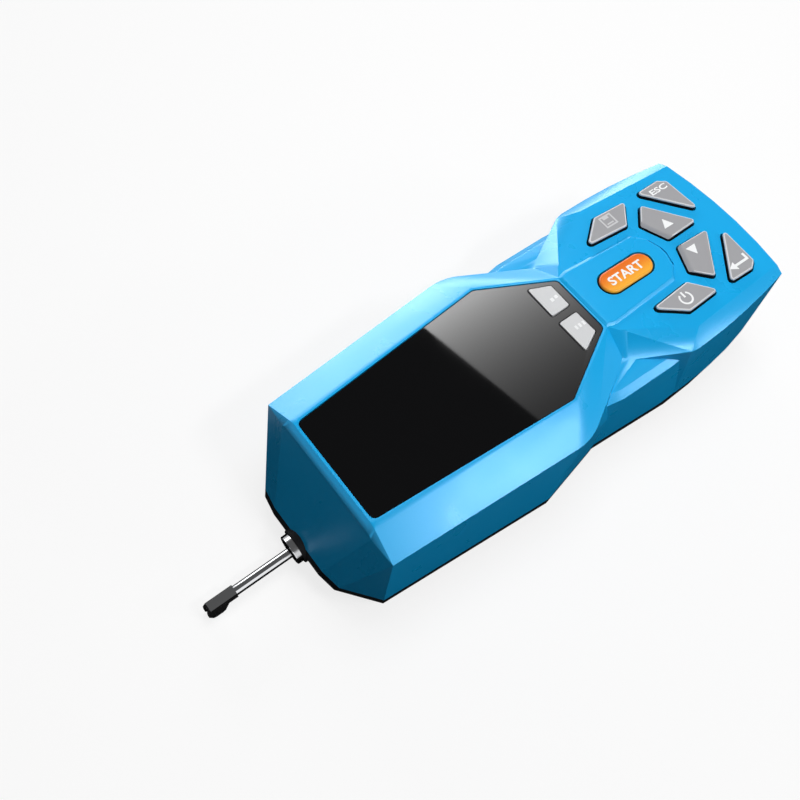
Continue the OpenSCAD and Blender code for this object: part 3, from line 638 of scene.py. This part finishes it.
def opening_lip(middle, edge, outward, tree):
    return in_keypad(middle) and outward.z >= 0.3 and abs(middle.z - deck_height(middle.y)) < 0.05


def front_brow(middle, edge, outward, tree):
    over_front = abs(middle.x) < BROW_HALF and middle.y < BROW_Y and middle.z > BROW_Z
    return over_front and outside_line(middle, edge, outward, tree)


def seam_line(middle, edge, outward, tree):
    level = Vector((outward.x, outward.y, 0))
    if abs(middle.z - SEAM_Z) > 0.05 or level.length < 0.2 or edge.calc_length() < SHORTEST * MM:
        return False
    return in_the_open(tree, middle, outward, level)


case_shell = node_copy("upper_case", "case_shell")
soften(case_shell, seam_line, 0.18, 2, 30)
soften(case_shell, front_brow, 1.3, 5, 9)
soften(case_shell, thumb_ledge, 1.7, 6, 9)
soften(case_shell, other_line, 0.45, 3, 9)
soften(case_shell, opening_lip, 0.12, 2, 40)
smooth(case_shell)
dress(case_shell, case_blue, "housing", "case", "upper_case")

# %% [markdown]
# ## Lower case
# The black half shows as a narrow band and a tapered foot. Its outer edges get the same care, and its inner ribs and
# pillars are left as they are, because nobody sees them.


# %% Shape the lower case
def foot_line(middle, edge, outward, tree):
    if edge.calc_length() < 0.6 * MM or middle.z > SEAM_Z - 0.2 or outward.z >= 0.2:
        return False
    return in_the_open(tree, middle, outward, (0, 0, -1))


base_shell = node_copy("base_cover", "base_shell")
soften(base_shell, seam_line, 0.18, 2, 30)
soften(base_shell, foot_line, 0.35, 3, 12)
smooth(base_shell)
dress(base_shell, base_black, "housing", "base", "base_cover")

# %% [markdown]
# ## Window
# One polished sheet covers the display and has two openings for the silver keys. Its upper edges are only broken, as
# a cut and polished sheet's are.


# %% Shape the window
def upper_edge(middle, edge, outward, tree):
    return middle.z > 39.2 and outward.z > 0.3


window_pane = node_copy("window_glass", "window_pane")
soften(window_pane, upper_edge, 0.12, 2, 30)
smooth(window_pane)
dress(window_pane, window_black, "housing", "window", "window_glass")

# %% [markdown]
# ## Keys
# The six grey keys are hard caps with a broad rounded rim, which is painted a paler grey as a painted highlight. Below
# the deck each cap is painted black as painted shade in the gap round it. The two arrow keys slope down towards the
# start key, where the thumb comes from, so a plane cuts that side off first.
# The start key is a softer pill, so its rim is wider. The two silver keys in the window have small rims.


# %% Shape the keys
KEY_RISE = 1.2
SLOPE_X, SLOPE_Y, SLOPE_DROP, SLOPE_RUN = 5.9, 55.3, 0.75, 1.1
UPRIGHT = Vector((0, math.sin(DECK_TILT), math.cos(DECK_TILT)))


def key_rim(middle, edge, outward, tree):
    return outward.z > 0.3 and abs(middle.z - deck_height(middle.y) - KEY_RISE) < 0.08


# Painted highlight: picks the rounded rim faces above the deck, which get the paler grey as the light they catch.
def painted_highlight_rim(middle, normal):
    return middle.z > deck_height(middle.y) + 0.5 and 0.2 < normal.dot(UPRIGHT) < 0.97


# Painted shade: picks a key's faces below the deck, which are painted black as the shade in the gap round the key.
def shade_skirt(middle, normal):
    return middle.z < deck_height(middle.y) + 0.05


def cut_off(piece, place, outward):
    """Cuts away what lies beyond a plane through place, in mm, and closes the cut."""
    only(piece)
    bpy.ops.object.mode_set(mode="EDIT")
    bpy.ops.mesh.select_all(action="SELECT")
    bpy.ops.mesh.bisect(plane_co=Vector(place) * MM, plane_no=outward, use_fill=True, clear_outer=True)
    bpy.ops.object.mode_set(mode="OBJECT")


def slope_to_start(cap, side):
    """Cuts the sloping side that an arrow key turns to the start key, and drops the tiny edges of the cut."""
    edge_middle = (SLOPE_X * side, SLOPE_Y, deck_height(SLOPE_Y) + KEY_RISE - SLOPE_DROP)
    to_start = Vector((-0.397 * side, -0.918, 0))
    cut_off(cap, edge_middle, to_start * SLOPE_DROP + UPRIGHT * SLOPE_RUN)
    bpy.ops.object.mode_set(mode="EDIT")
    bpy.ops.mesh.select_all(action="SELECT")
    bpy.ops.mesh.dissolve_degenerate(threshold=0.2 * MM)
    bpy.ops.object.mode_set(mode="OBJECT")


for name in ("save", "escape", "up", "down", "enter", "power"):
    cap = node_copy(name + "_key", name + "_cap")
    sloped = name in ("up", "down")
    if sloped:
        slope_to_start(cap, -1 if name == "up" else 1)
    soften(cap, key_rim, 0.5, 2, 30)
    smooth(cap)
    dress(cap, key_grey, name + "_button", "keys", name + "_key")
    # Painted highlight on the rim; an arrow key's slope towards the start key is left plain grey, as its shaded side.
    paint(cap, rim_painted_highlight, lambda middle, normal: painted_highlight_rim(middle, normal) and not (sloped and normal.y < -0.4))
    # Painted shade in the gap round the key.
    paint(cap, black_and_shade, shade_skirt)

start_cap = node_copy("start_key", "start_cap")
soften(start_cap, key_rim, 0.75, 5, 30)
smooth(start_cap)
dress(start_cap, start_orange, "start_button", "start", "start_key")
# Painted shade in the gap round the start key.
paint(start_cap, black_and_shade, shade_skirt)

for side in ("left", "right"):
    cap = node_copy("soft_key_" + side, "soft_cap_" + side)
    soften(cap, lambda m, e, o, t: o.z > 0.3 and m.z > 39.6, 0.2, 2, 30)
    smooth(cap)
    dress(cap, soft_silver, "soft_button_" + side, "soft_keys", "soft_key_" + side)

# %% [markdown]
# ## Key legends
# The legends are white print. Print has almost no thickness, but a mesh needs some, so each legend is drawn flat, one
# unit to the millimetre, made 0.06 mm thick and laid on its key with half of that sunk in. The words are text that
# becomes a mesh before it is laid down. They run towards the back of the instrument, and their tops point left.


# %% Lay a legend on a key
INK, SOFT_KEY_TOP = 0.06, 39.65


def lay(flat, name, finish, body, x, y):
    """Thickens a flat legend, lays it on a key of the deck or of the window at x, y, and dresses it."""
    only(flat)
    flat.name = name
    bpy.ops.object.modifier_add(type="SOLIDIFY")
    thick = flat.modifiers[-1]
    thick.thickness = INK
    thick.offset = 0
    bpy.ops.object.modifier_apply(modifier=thick.name)
    bpy.ops.object.shade_flat()
    in_the_window = y < DECK_Y
    tilt = 0 if in_the_window else DECK_TILT
    top = SOFT_KEY_TOP if in_the_window else deck_height(y) + KEY_RISE / math.cos(DECK_TILT)
    turn = Matrix.Rotation(-tilt, 4, "X") @ Matrix.Rotation(math.radians(90), 4, "Z")
    flat.matrix_world = Matrix.Translation(Vector((x, y, top)) * MM) @ turn @ Matrix.Scale(MM, 4)
    bpy.ops.object.transform_apply(location=True, rotation=True, scale=True)
    dress(flat, finish, body, "soft_keys")
    print(name, "on", body)


def word(letters, length, height):
    """Types a word and makes it a flat mesh of the given length and height, in mm, about its middle."""
    bpy.ops.object.select_all(action="DESELECT")
    bpy.ops.object.text_add()
    flat = bpy.context.object
    flat.data.body = letters
    flat.data.offset = 0.025
    flat.data.resolution_u = 4
    flat.data.fill_mode = "FRONT"
    bpy.ops.object.convert(target="MESH")
    flat = bpy.context.object
    bpy.ops.object.origin_set(type="ORIGIN_GEOMETRY", center="BOUNDS")
    flat.location = (0, 0, 0)
    flat.scale = (length / flat.dimensions.x, height / flat.dimensions.y, 1)
    bpy.ops.object.transform_apply(location=True, rotation=True, scale=True)
    return flat


lay(word("START", 12.4, 3.0), "start_legend", legend_white, "start_button", 0, 37.9)
lay(word("ESC", 6.3, 2.0), "escape_legend", legend_white, "escape_button", -17.0, 67.3)

# %% [markdown]
# The arrows are triangles with slightly rounded corners, both from the same start, one turned round.


# %% Print the two arrows
def triangle(width, length, upward):
    """A flat triangle about its middle, in mm, that points to the legend's top or bottom."""
    bpy.ops.object.select_all(action="DESELECT")
    bpy.ops.mesh.primitive_circle_add(vertices=3, radius=1, fill_type="NGON")
    flat = bpy.context.object
    flat.scale = (width / math.sqrt(3), (1 if upward else -1) * length / 1.5, 1)
    bpy.ops.object.transform_apply(location=True, rotation=True, scale=True)
    bpy.ops.object.mode_set(mode="EDIT")
    bpy.ops.mesh.select_all(action="SELECT")
    bpy.ops.mesh.bevel(offset=0.12, segments=2, affect="VERTICES")
    bpy.ops.mesh.normals_make_consistent(inside=False)
    bpy.ops.object.mode_set(mode="OBJECT")
    return flat


lay(triangle(3.6, 3.2, True), "up_legend", legend_white, "up_button", -6.0, 60.1)
lay(triangle(3.6, 3.2, False), "down_legend", legend_white, "down_button", 4.9, 59.8)

# %% [markdown]
# The other symbols are strips. Each starts as a small square, and its edges are pulled out one after the other.


# %% Pull a symbol out of a square
def pick_edges(flat, wanted):
    """Selects the outer edges of a flat shape whose middle wanted accepts, in edit mode."""
    bpy.ops.mesh.select_all(action="DESELECT")
    bpy.ops.mesh.select_mode(type="EDGE")
    mesh = bmesh.from_edit_mesh(flat.data)
    for edge in mesh.edges:
        if len(edge.link_faces) < 2 and wanted((edge.verts[0].co + edge.verts[1].co) / 2):
            edge.select_set(True)
    mesh.select_flush_mode()
    bmesh.update_edit_mesh(flat.data)


def pull(flat, wanted, move, widen=(1, 1, 1), about=(0, 0, 0)):
    """Extrudes the picked outer edges by move and stretches their new end about a point."""
    pick_edges(flat, wanted)
    bpy.ops.mesh.extrude_region_move(TRANSFORM_OT_translate={"value": move})
    bpy.ops.transform.resize(value=widen, center_override=about)


def square(x, y, width, height):
    """Adds a flat rectangle at x, y, in mm, and opens it for editing."""
    bpy.ops.object.select_all(action="DESELECT")
    bpy.ops.mesh.primitive_plane_add(size=1, location=(x, y, 0))
    flat = bpy.context.object
    flat.scale = (width, height, 1)
    bpy.ops.object.transform_apply(location=True, rotation=True, scale=True)
    bpy.ops.object.mode_set(mode="EDIT")
    return flat


def closed(flat):
    """Leaves edit mode with doubles merged and all faces turned up."""
    bpy.ops.mesh.select_all(action="SELECT")
    bpy.ops.mesh.remove_doubles(threshold=0.001)
    bpy.ops.mesh.normals_make_consistent(inside=False)
    bpy.ops.object.mode_set(mode="OBJECT")
    if flat.data.polygons[0].normal.z < 0:
        flat.data.flip_normals()
    return flat


enter = square(3.2, 0, 0.8, 0.8)
pull(enter, lambda m: m.y > 0.35, (0, 1.7, 0))
pull(enter, lambda m: m.x < 3.0 and m.y < 0.35, (-4.3, 0, 0))
pull(enter, lambda m: m.x < -1.4, (-0.001, 0, 0), (1, 3.6, 1), (-1.5, 0, 0))
pull(enter, lambda m: m.x < -1.4 and abs(m.y) < 0.1, (-2.3, 0, 0), (1, 0.02, 1), (-3.8, 0, 0))
lay(closed(enter), "enter_legend", legend_white, "enter_button", 16.4, 67.3)

# %% [markdown]
# The power symbol is a ring with a gap and a stroke, and the storage symbol a frame with a shutter and a label.


# %% Print the power and the storage symbols
RING_R, RING_GROWTH, RING_GAP = 1.6, 1.36, math.radians(36)


def add_bar(x, y, width, height):
    """Adds a rectangle to the symbol that is open for editing."""
    bpy.ops.mesh.primitive_plane_add(size=1, location=(x, y, 0))
    bpy.ops.transform.resize(value=(width, height, 1), center_override=(x, y, 0))


def from_top(middle):
    """Angle of a point from the ring's top."""
    return math.atan2(abs(middle.x), middle.y)


bpy.ops.object.select_all(action="DESELECT")
bpy.ops.mesh.primitive_circle_add(vertices=40, radius=RING_R, fill_type="NOTHING")
power = bpy.context.object
bpy.ops.object.mode_set(mode="EDIT")
pick_edges(power, lambda m: from_top(m) > RING_GAP)
bpy.ops.mesh.extrude_region_move()
bpy.ops.transform.resize(value=(RING_GROWTH, RING_GROWTH, 1), center_override=(0, 0, 0))
pick_edges(power, lambda m: m.length < RING_R + 0.01 and from_top(m) < RING_GAP)
bpy.ops.mesh.delete(type="EDGE")
bpy.ops.mesh.select_mode(type="VERT")
add_bar(0, 1.3, 0.6, 2.0)
lay(closed(power), "power_legend", legend_white, "power_button", 16.2, 45.8)

disk = square(0, 0, 4.4, 4.2)
bpy.ops.mesh.select_all(action="SELECT")
bpy.ops.mesh.inset(thickness=0.5)
bpy.ops.mesh.delete(type="FACE")
add_bar(-0.1, 1.2, 2.0, 0.9)
add_bar(0, -1.0, 2.4, 0.45)
lay(closed(disk), "save_legend", legend_pale, "save_button", -16.7, 46.6)

# %% [markdown]
# The two silver keys carry small marks: two squares on the left one and three bars on the right one.

# %% Print the silver keys' marks
pages = square(-0.75, 0, 1.0, 1.2)
add_bar(0.75, 0.2, 1, 1)
lay(closed(pages), "soft_legend_left", legend_white, "soft_button_left", -5.5, 16.0)
bars = square(-1.3, 0, 0.7, 1.3)
for step in (0, 1.3):
    add_bar(step, 0, 0.7, 1.3)
lay(closed(bars), "soft_legend_right", legend_white, "soft_button_right", 5.3, 15.9)

# %% [markdown]
# ## Start pad
# The start key stands in a pad that leaves the window's rim and comes out of the falling deck as a low plateau, whose
# ridge grows towards the back. A flat outline is pulled out of a rectangle and inset, and the inset face is lifted and
# turned up a little. The sheet is laid on the deck and given a wall.


# %% Shape the start pad
PAD_FRONT, PAD_FRONT_HALF = 21.3, 10.0
PAD_SLOPE, PAD_LIFT, PAD_RISE = 1.0, 0.45, math.radians(1.2)
PAD_WALL, PAD_SINK = 2.2, 0.02
PAD_STEPS = [(24.2, 11.0), (36.0, 10.3), (48.6, 9.6), (51.9, 5.8), (53.2, 1.4)]


def on_deck(y, lift=0):
    """Returns the move that brings a level piece from the origin to the sloped deck at y, in mm."""
    return Matrix.Translation(Vector((0, y, deck_height(y) + lift)) * MM) @ Matrix.Rotation(-DECK_TILT, 4, "X")


(wide_y, wide_half), (last_y, last_half) = PAD_STEPS[:2]
pad = square(0, (wide_y + last_y) / 2, 2 * wide_half, last_y - wide_y)
pick_edges(pad, lambda m: m.y > last_y - 0.01)
bpy.ops.transform.resize(value=(last_half / wide_half, 1, 1), center_override=(0, last_y, 0))
pull(
    pad, lambda m: m.y < wide_y + 0.01,
    (0, PAD_FRONT - wide_y, 0), (PAD_FRONT_HALF / wide_half, 1, 1), (0, PAD_FRONT, 0),
)
for step_y, half in PAD_STEPS[2:]:
    pull(pad, lambda m: m.y > last_y - 0.01, (0, step_y - last_y, 0), (half / last_half, 1, 1), (0, step_y, 0))
    last_y, last_half = step_y, half
bpy.ops.mesh.select_all(action="SELECT")
bpy.ops.mesh.dissolve_limited(angle_limit=math.radians(1))
bpy.ops.mesh.select_all(action="SELECT")
bpy.ops.mesh.inset(thickness=PAD_SLOPE)
bpy.ops.transform.translate(value=(0, 0, PAD_LIFT))
bpy.ops.transform.rotate(value=-PAD_RISE, orient_axis="X", center_override=(0, PAD_FRONT, PAD_LIFT))
closed(pad)
pad.name = "start_pad"
pad.matrix_world = on_deck(DECK_Y, -PAD_SINK) @ Matrix.Scale(MM, 4) @ Matrix.Translation((0, -DECK_Y, 0))
bpy.ops.object.transform_apply(location=True, rotation=True, scale=True)
bpy.ops.object.modifier_add(type="SOLIDIFY")
pad.modifiers[-1].thickness = PAD_WALL * MM
bpy.ops.object.modifier_apply(modifier=pad.modifiers[-1].name)
print("pad top", round(max(v.co.z for v in pad.data.vertices) / MM, 2), "faces", len(pad.data.polygons))

# %% [markdown]
# The key's opening is cut with a pill: a cylinder whose two halves are moved apart along the deck.


# %% Cut the start key's opening
START_Y, START_REACH, START_R = 38.1, 5.5, 4.15


def cut_away(piece, tool):
    """Takes a tool's shape out of a piece and removes the tool."""
    only(piece)
    bpy.ops.object.modifier_add(type="BOOLEAN")
    piece.modifiers[-1].object = tool
    bpy.ops.object.modifier_apply(modifier=piece.modifiers[-1].name)
    bpy.data.objects.remove(tool)


bpy.ops.object.select_all(action="DESELECT")
bpy.ops.mesh.primitive_cylinder_add(vertices=64, radius=START_R * MM, depth=8 * MM)
pill = bpy.context.object
bpy.ops.object.mode_set(mode="EDIT")
for way in (-1, 1):
    bpy.ops.mesh.select_all(action="DESELECT")
    bpy.ops.mesh.select_mode(type="VERT")
    mesh = bmesh.from_edit_mesh(pill.data)
    for corner in mesh.verts:
        corner.select_set(corner.co.y * way > 0.01 * MM)
    mesh.select_flush_mode()
    bmesh.update_edit_mesh(pill.data)
    bpy.ops.transform.translate(value=(0, way * START_REACH * MM, 0))
bpy.ops.object.mode_set(mode="OBJECT")
pill.matrix_world = on_deck(START_Y)
cut_away(pad, pill)
soften(pad, lambda m, e, o, t: o.z > 0.5, 0.25, 2, 3)
smooth(pad)
dress(pad, case_blue, "housing", "case")

# %% [markdown]
# Beside the window's rear corners a slanted face runs from the deck's corner down to the head. A small shoulder on each
# side gives it: a block is cut level with that face, the palm facet and the deck, and the rest is cut inside the case.


# %% Shape the shoulders
SHOULDER_CUTS = (
    ("slanted face", (10.1, 21.6, 39.48), (0.380, -0.438, 0.815)),
    ("palm facet", (18.0, 25.9, 37.08), (0.482, -0.257, 0.838)),
    ("deck", (0, DECK_Y, DECK_Z - 0.03), UPRIGHT),
    ("window's rim", (0, 0, DECK_Z - 0.06), (0, 0, 1)),
    ("keypad's front", (13.1, 24.35, 37.94), (0, 0.754, -0.656)),
    ("head chamfer", (17.72, 15.68, 36.13), (-0.474, -0.269, -0.839)),
)


def plate(x, y, z, width, depth, height):
    """Adds a box about x, y, z, in mm, with its size applied."""
    bpy.ops.object.select_all(action="DESELECT")
    bpy.ops.mesh.primitive_cube_add(size=1, location=Vector((x, y, z)) * MM)
    made = bpy.context.object
    made.scale = Vector((width, depth, height)) * MM
    bpy.ops.object.transform_apply(location=True, rotation=True, scale=True)
    return made


for name, side in (("left_shoulder", -1), ("right_shoulder", 1)):
    shoulder = plate(side * 14.0, 22.3, 36.4, 10.5, 6.0, 6.6)
    shoulder.name = name
    for along, (x, y, z), outward in SHOULDER_CUTS:
        cut_off(shoulder, (side * x, y, z), (side * outward[0], outward[1], outward[2]))
        print(name, "cut along the", along, "has", len(shoulder.data.polygons), "faces")
    smooth(shoulder)
    dress(shoulder, case_blue, "housing", "case")

# %% [markdown]
# ## Collar
# The collar is a turned and chromed ring in the front face, and the pickup's tube slides through it. Turned rims have a
# small chamfer, which shows as a bright line. The front of the bore is painted black as painted shade.

# %% Shape the collar
RAIL_Z, COLLAR_BORE_R = 7.4, 3.5
collar = node_copy("guide_collar", "collar_ring")
soften(collar, lambda m, e, o, t: m.y < -80, 0.25, 2, 40)
smooth(collar)
dress(collar, chrome, "housing", "chrome", "guide_collar")
# Painted shade: the bore's faces near the front are painted black.
paint(collar, black_and_shade, lambda m, n: m.y < -79.2 and Vector((m.x, 0, m.z - RAIL_Z)).length < COLLAR_BORE_R)

# %% [markdown]
# A black sleeve rings the collar in the front face; its black is painted shade, standing in for the dark ring of shade
# round the collar. It is a short cylinder with its ends inset and bridged into a tube, and its front rim is rounded.


# %% Shape the collar's sleeve
COLLAR_R = 4.5
SLEEVE_Y, SLEEVE_LENGTH, SLEEVE_R, SLEEVE_GAP = -77.2, 2.4, 5.3, 0.04


def pick_faces(piece, wanted):
    """Selects the faces that wanted accepts, in edit mode."""
    bpy.ops.mesh.select_mode(type="FACE")
    bpy.ops.mesh.select_all(action="DESELECT")
    mesh = bmesh.from_edit_mesh(piece.data)
    for face in mesh.faces:
        face.select_set(wanted(face))
    bmesh.update_edit_mesh(piece.data)


bpy.ops.object.select_all(action="DESELECT")
bpy.ops.mesh.primitive_cylinder_add(
    vertices=64, radius=SLEEVE_R * MM, depth=SLEEVE_LENGTH * MM, end_fill_type="NGON",
    location=(0, SLEEVE_Y * MM, RAIL_Z * MM), rotation=(math.radians(90), 0, 0),
)
sleeve = bpy.context.object
sleeve.name = "collar_sleeve"
bpy.ops.object.transform_apply(location=True, rotation=True, scale=True)
bpy.ops.object.mode_set(mode="EDIT")
pick_faces(sleeve, lambda face: abs(face.normal.y) > 0.9)
bpy.ops.mesh.inset(thickness=(SLEEVE_R - COLLAR_R - SLEEVE_GAP) * MM)
bpy.ops.mesh.bridge_edge_loops()
bpy.ops.object.mode_set(mode="OBJECT")
soften(sleeve, lambda m, e, o, t: m.y < -78.3, 0.25, 3, 40)
smooth(sleeve)
# Painted shade: the sleeve is black as the shade round the collar.
dress(sleeve, black_and_shade, "housing", "base")

# %% [markdown]
# ## Screws and socket
# Six screws hold the halves together. The CAD heads are plain discs, so a cross is cut into each: a small cube whose
# four sides are pulled out makes the cutter, and a boolean takes it away.


# %% Cut the screw drives
SCREW_SPOTS = [(side * x, y) for side in (-1, 1) for x, y in ((22, -57), (25.2, -20), (20.4, 62))]
CROSS_WIDTH, CROSS_ARM, CROSS_Z = 0.8, 1.0, 0.9


def joined(pieces):
    """Joins several objects into the first one."""
    only(pieces[0])
    for piece in pieces:
        piece.select_set(True)
    bpy.ops.object.join()
    return bpy.context.object


def looks(face, way):
    """Tells whether a face of the cross looks along way and is on that side."""
    return face.normal.dot(way) > 0.9 and face.calc_center_median().dot(way) > 0.3 * MM


bpy.ops.object.select_all(action="DESELECT")
bpy.ops.mesh.primitive_cube_add(size=CROSS_WIDTH * MM)
cross = bpy.context.object
bpy.ops.object.mode_set(mode="EDIT")
for way in map(Vector, ((1, 0, 0), (-1, 0, 0), (0, 1, 0), (0, -1, 0))):
    pick_faces(cross, lambda face: looks(face, way))
    bpy.ops.mesh.extrude_region_move(TRANSFORM_OT_translate={"value": way * CROSS_ARM * MM})
    bpy.ops.transform.resize(value=(1, 1, 1.6), center_override=(0, 0, 0))
bpy.ops.object.mode_set(mode="OBJECT")
crosses = []
for x, y in SCREW_SPOTS:
    copy = bpy.data.objects.new("cross_copy", cross.data.copy())
    bpy.context.scene.collection.objects.link(copy)
    copy.location = Vector((x, y, CROSS_Z)) * MM
    crosses.append(copy)
bpy.data.objects.remove(cross)
screws = node_copy("case_screws", "cross_screws")
cut_away(screws, joined(crosses))
soften(screws, lambda m, e, o, t: m.z < 0.7 and e.calc_length() < 0.5 * MM, 0.15, 2, 60)
smooth(screws)
dress(screws, zinc, "housing", "screws", "case_screws")

# %% [markdown]
# The data socket at the back is a folded shell. Inside it sits a thin tongue with five contacts, which is a bevelled
# plate with bright strips on its lower side.

# %% Fit the socket's tongue
SOCKET_X, SOCKET_Z = 11.0, 26.05
tongue = plate(SOCKET_X, 74.5, SOCKET_Z + 0.2, 5.4, 4.0, 0.8)
tongue.name = "socket_tongue"
soften(tongue, lambda m, e, o, t: m.y > 76, 0.2, 2, 40)
smooth(tongue)
dress(tongue, black_and_shade, "housing", "plug")
strips = [plate(SOCKET_X - 1.8 + 0.9 * i, 74.6, SOCKET_Z - 0.22, 0.45, 3.6, 0.08) for i in range(5)]
contacts = joined(strips)
contacts.name = "socket_contacts"
soften(contacts, lambda m, e, o, t: m.y > 76, 0.05, 2, 40)
smooth(contacts)
dress(contacts, brass, "housing", "brass")

# %% [markdown]
# ## Parts that keep their CAD shape
# The drive, the board and the small hardware inside already have their right shapes, so they only get their finishes.

# %% Finish the other nodes
board_green = plastic("board_green", (0.01, 0.09, 0.035), (0.28, 0.36), 0.5, 0.6, 0.004, 0.25)
switch_black = plastic("switch_black", (0.015, 0.015, 0.018), (0.40, 0.50), 0.4, 0.15, 0.004, 0.15)
display_dark = plastic("display_dark", (0.010, 0.012, 0.016), (0.10, 0.16), 0.5, 0.3, 0.0006, 0.12)
cell_wrap = plastic("cell_wrap", (0.012, 0.055, 0.22), (0.22, 0.32), 0.5, 0.9, 0.010, 0.20)
plug_black = plastic("plug_black", (0.010, 0.010, 0.012), (0.42, 0.52), 0.4, 0.18, 0.006, 0.15)
tip_clear = plastic("tip_clear", (0.80, 0.77, 0.68), (0.04, 0.08), 0.8, 0.05, 0.0003, 0.10)
finishes = {
    board_green: ["main_board"], switch_black: ["key_switches"], display_dark: ["lcd_panel"],
    cell_wrap: ["battery_pack"], zinc: ["usb_socket", "board_screws", "drive_screws"],
    milled: ["drive_frame"], ground_steel: ["guide_rods", "lead_screw", "drive_motor", "pivot_pin", "stylus_arm"],
    brass: ["screw_bushes", "screw_gear", "motor_pinion", "lead_nut"], anodised: ["carriage"],
    plug_black: ["sensor_socket"], chrome: ["sensor_tube", "sensor_nose"], tip_clear: ["stylus_tip"],
}
for finish, names in finishes.items():
    for name in names:
        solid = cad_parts[name]
        solid.data.materials.clear()
        solid.data.materials.append(finish)
    print(finish.name, "on", ", ".join(names))
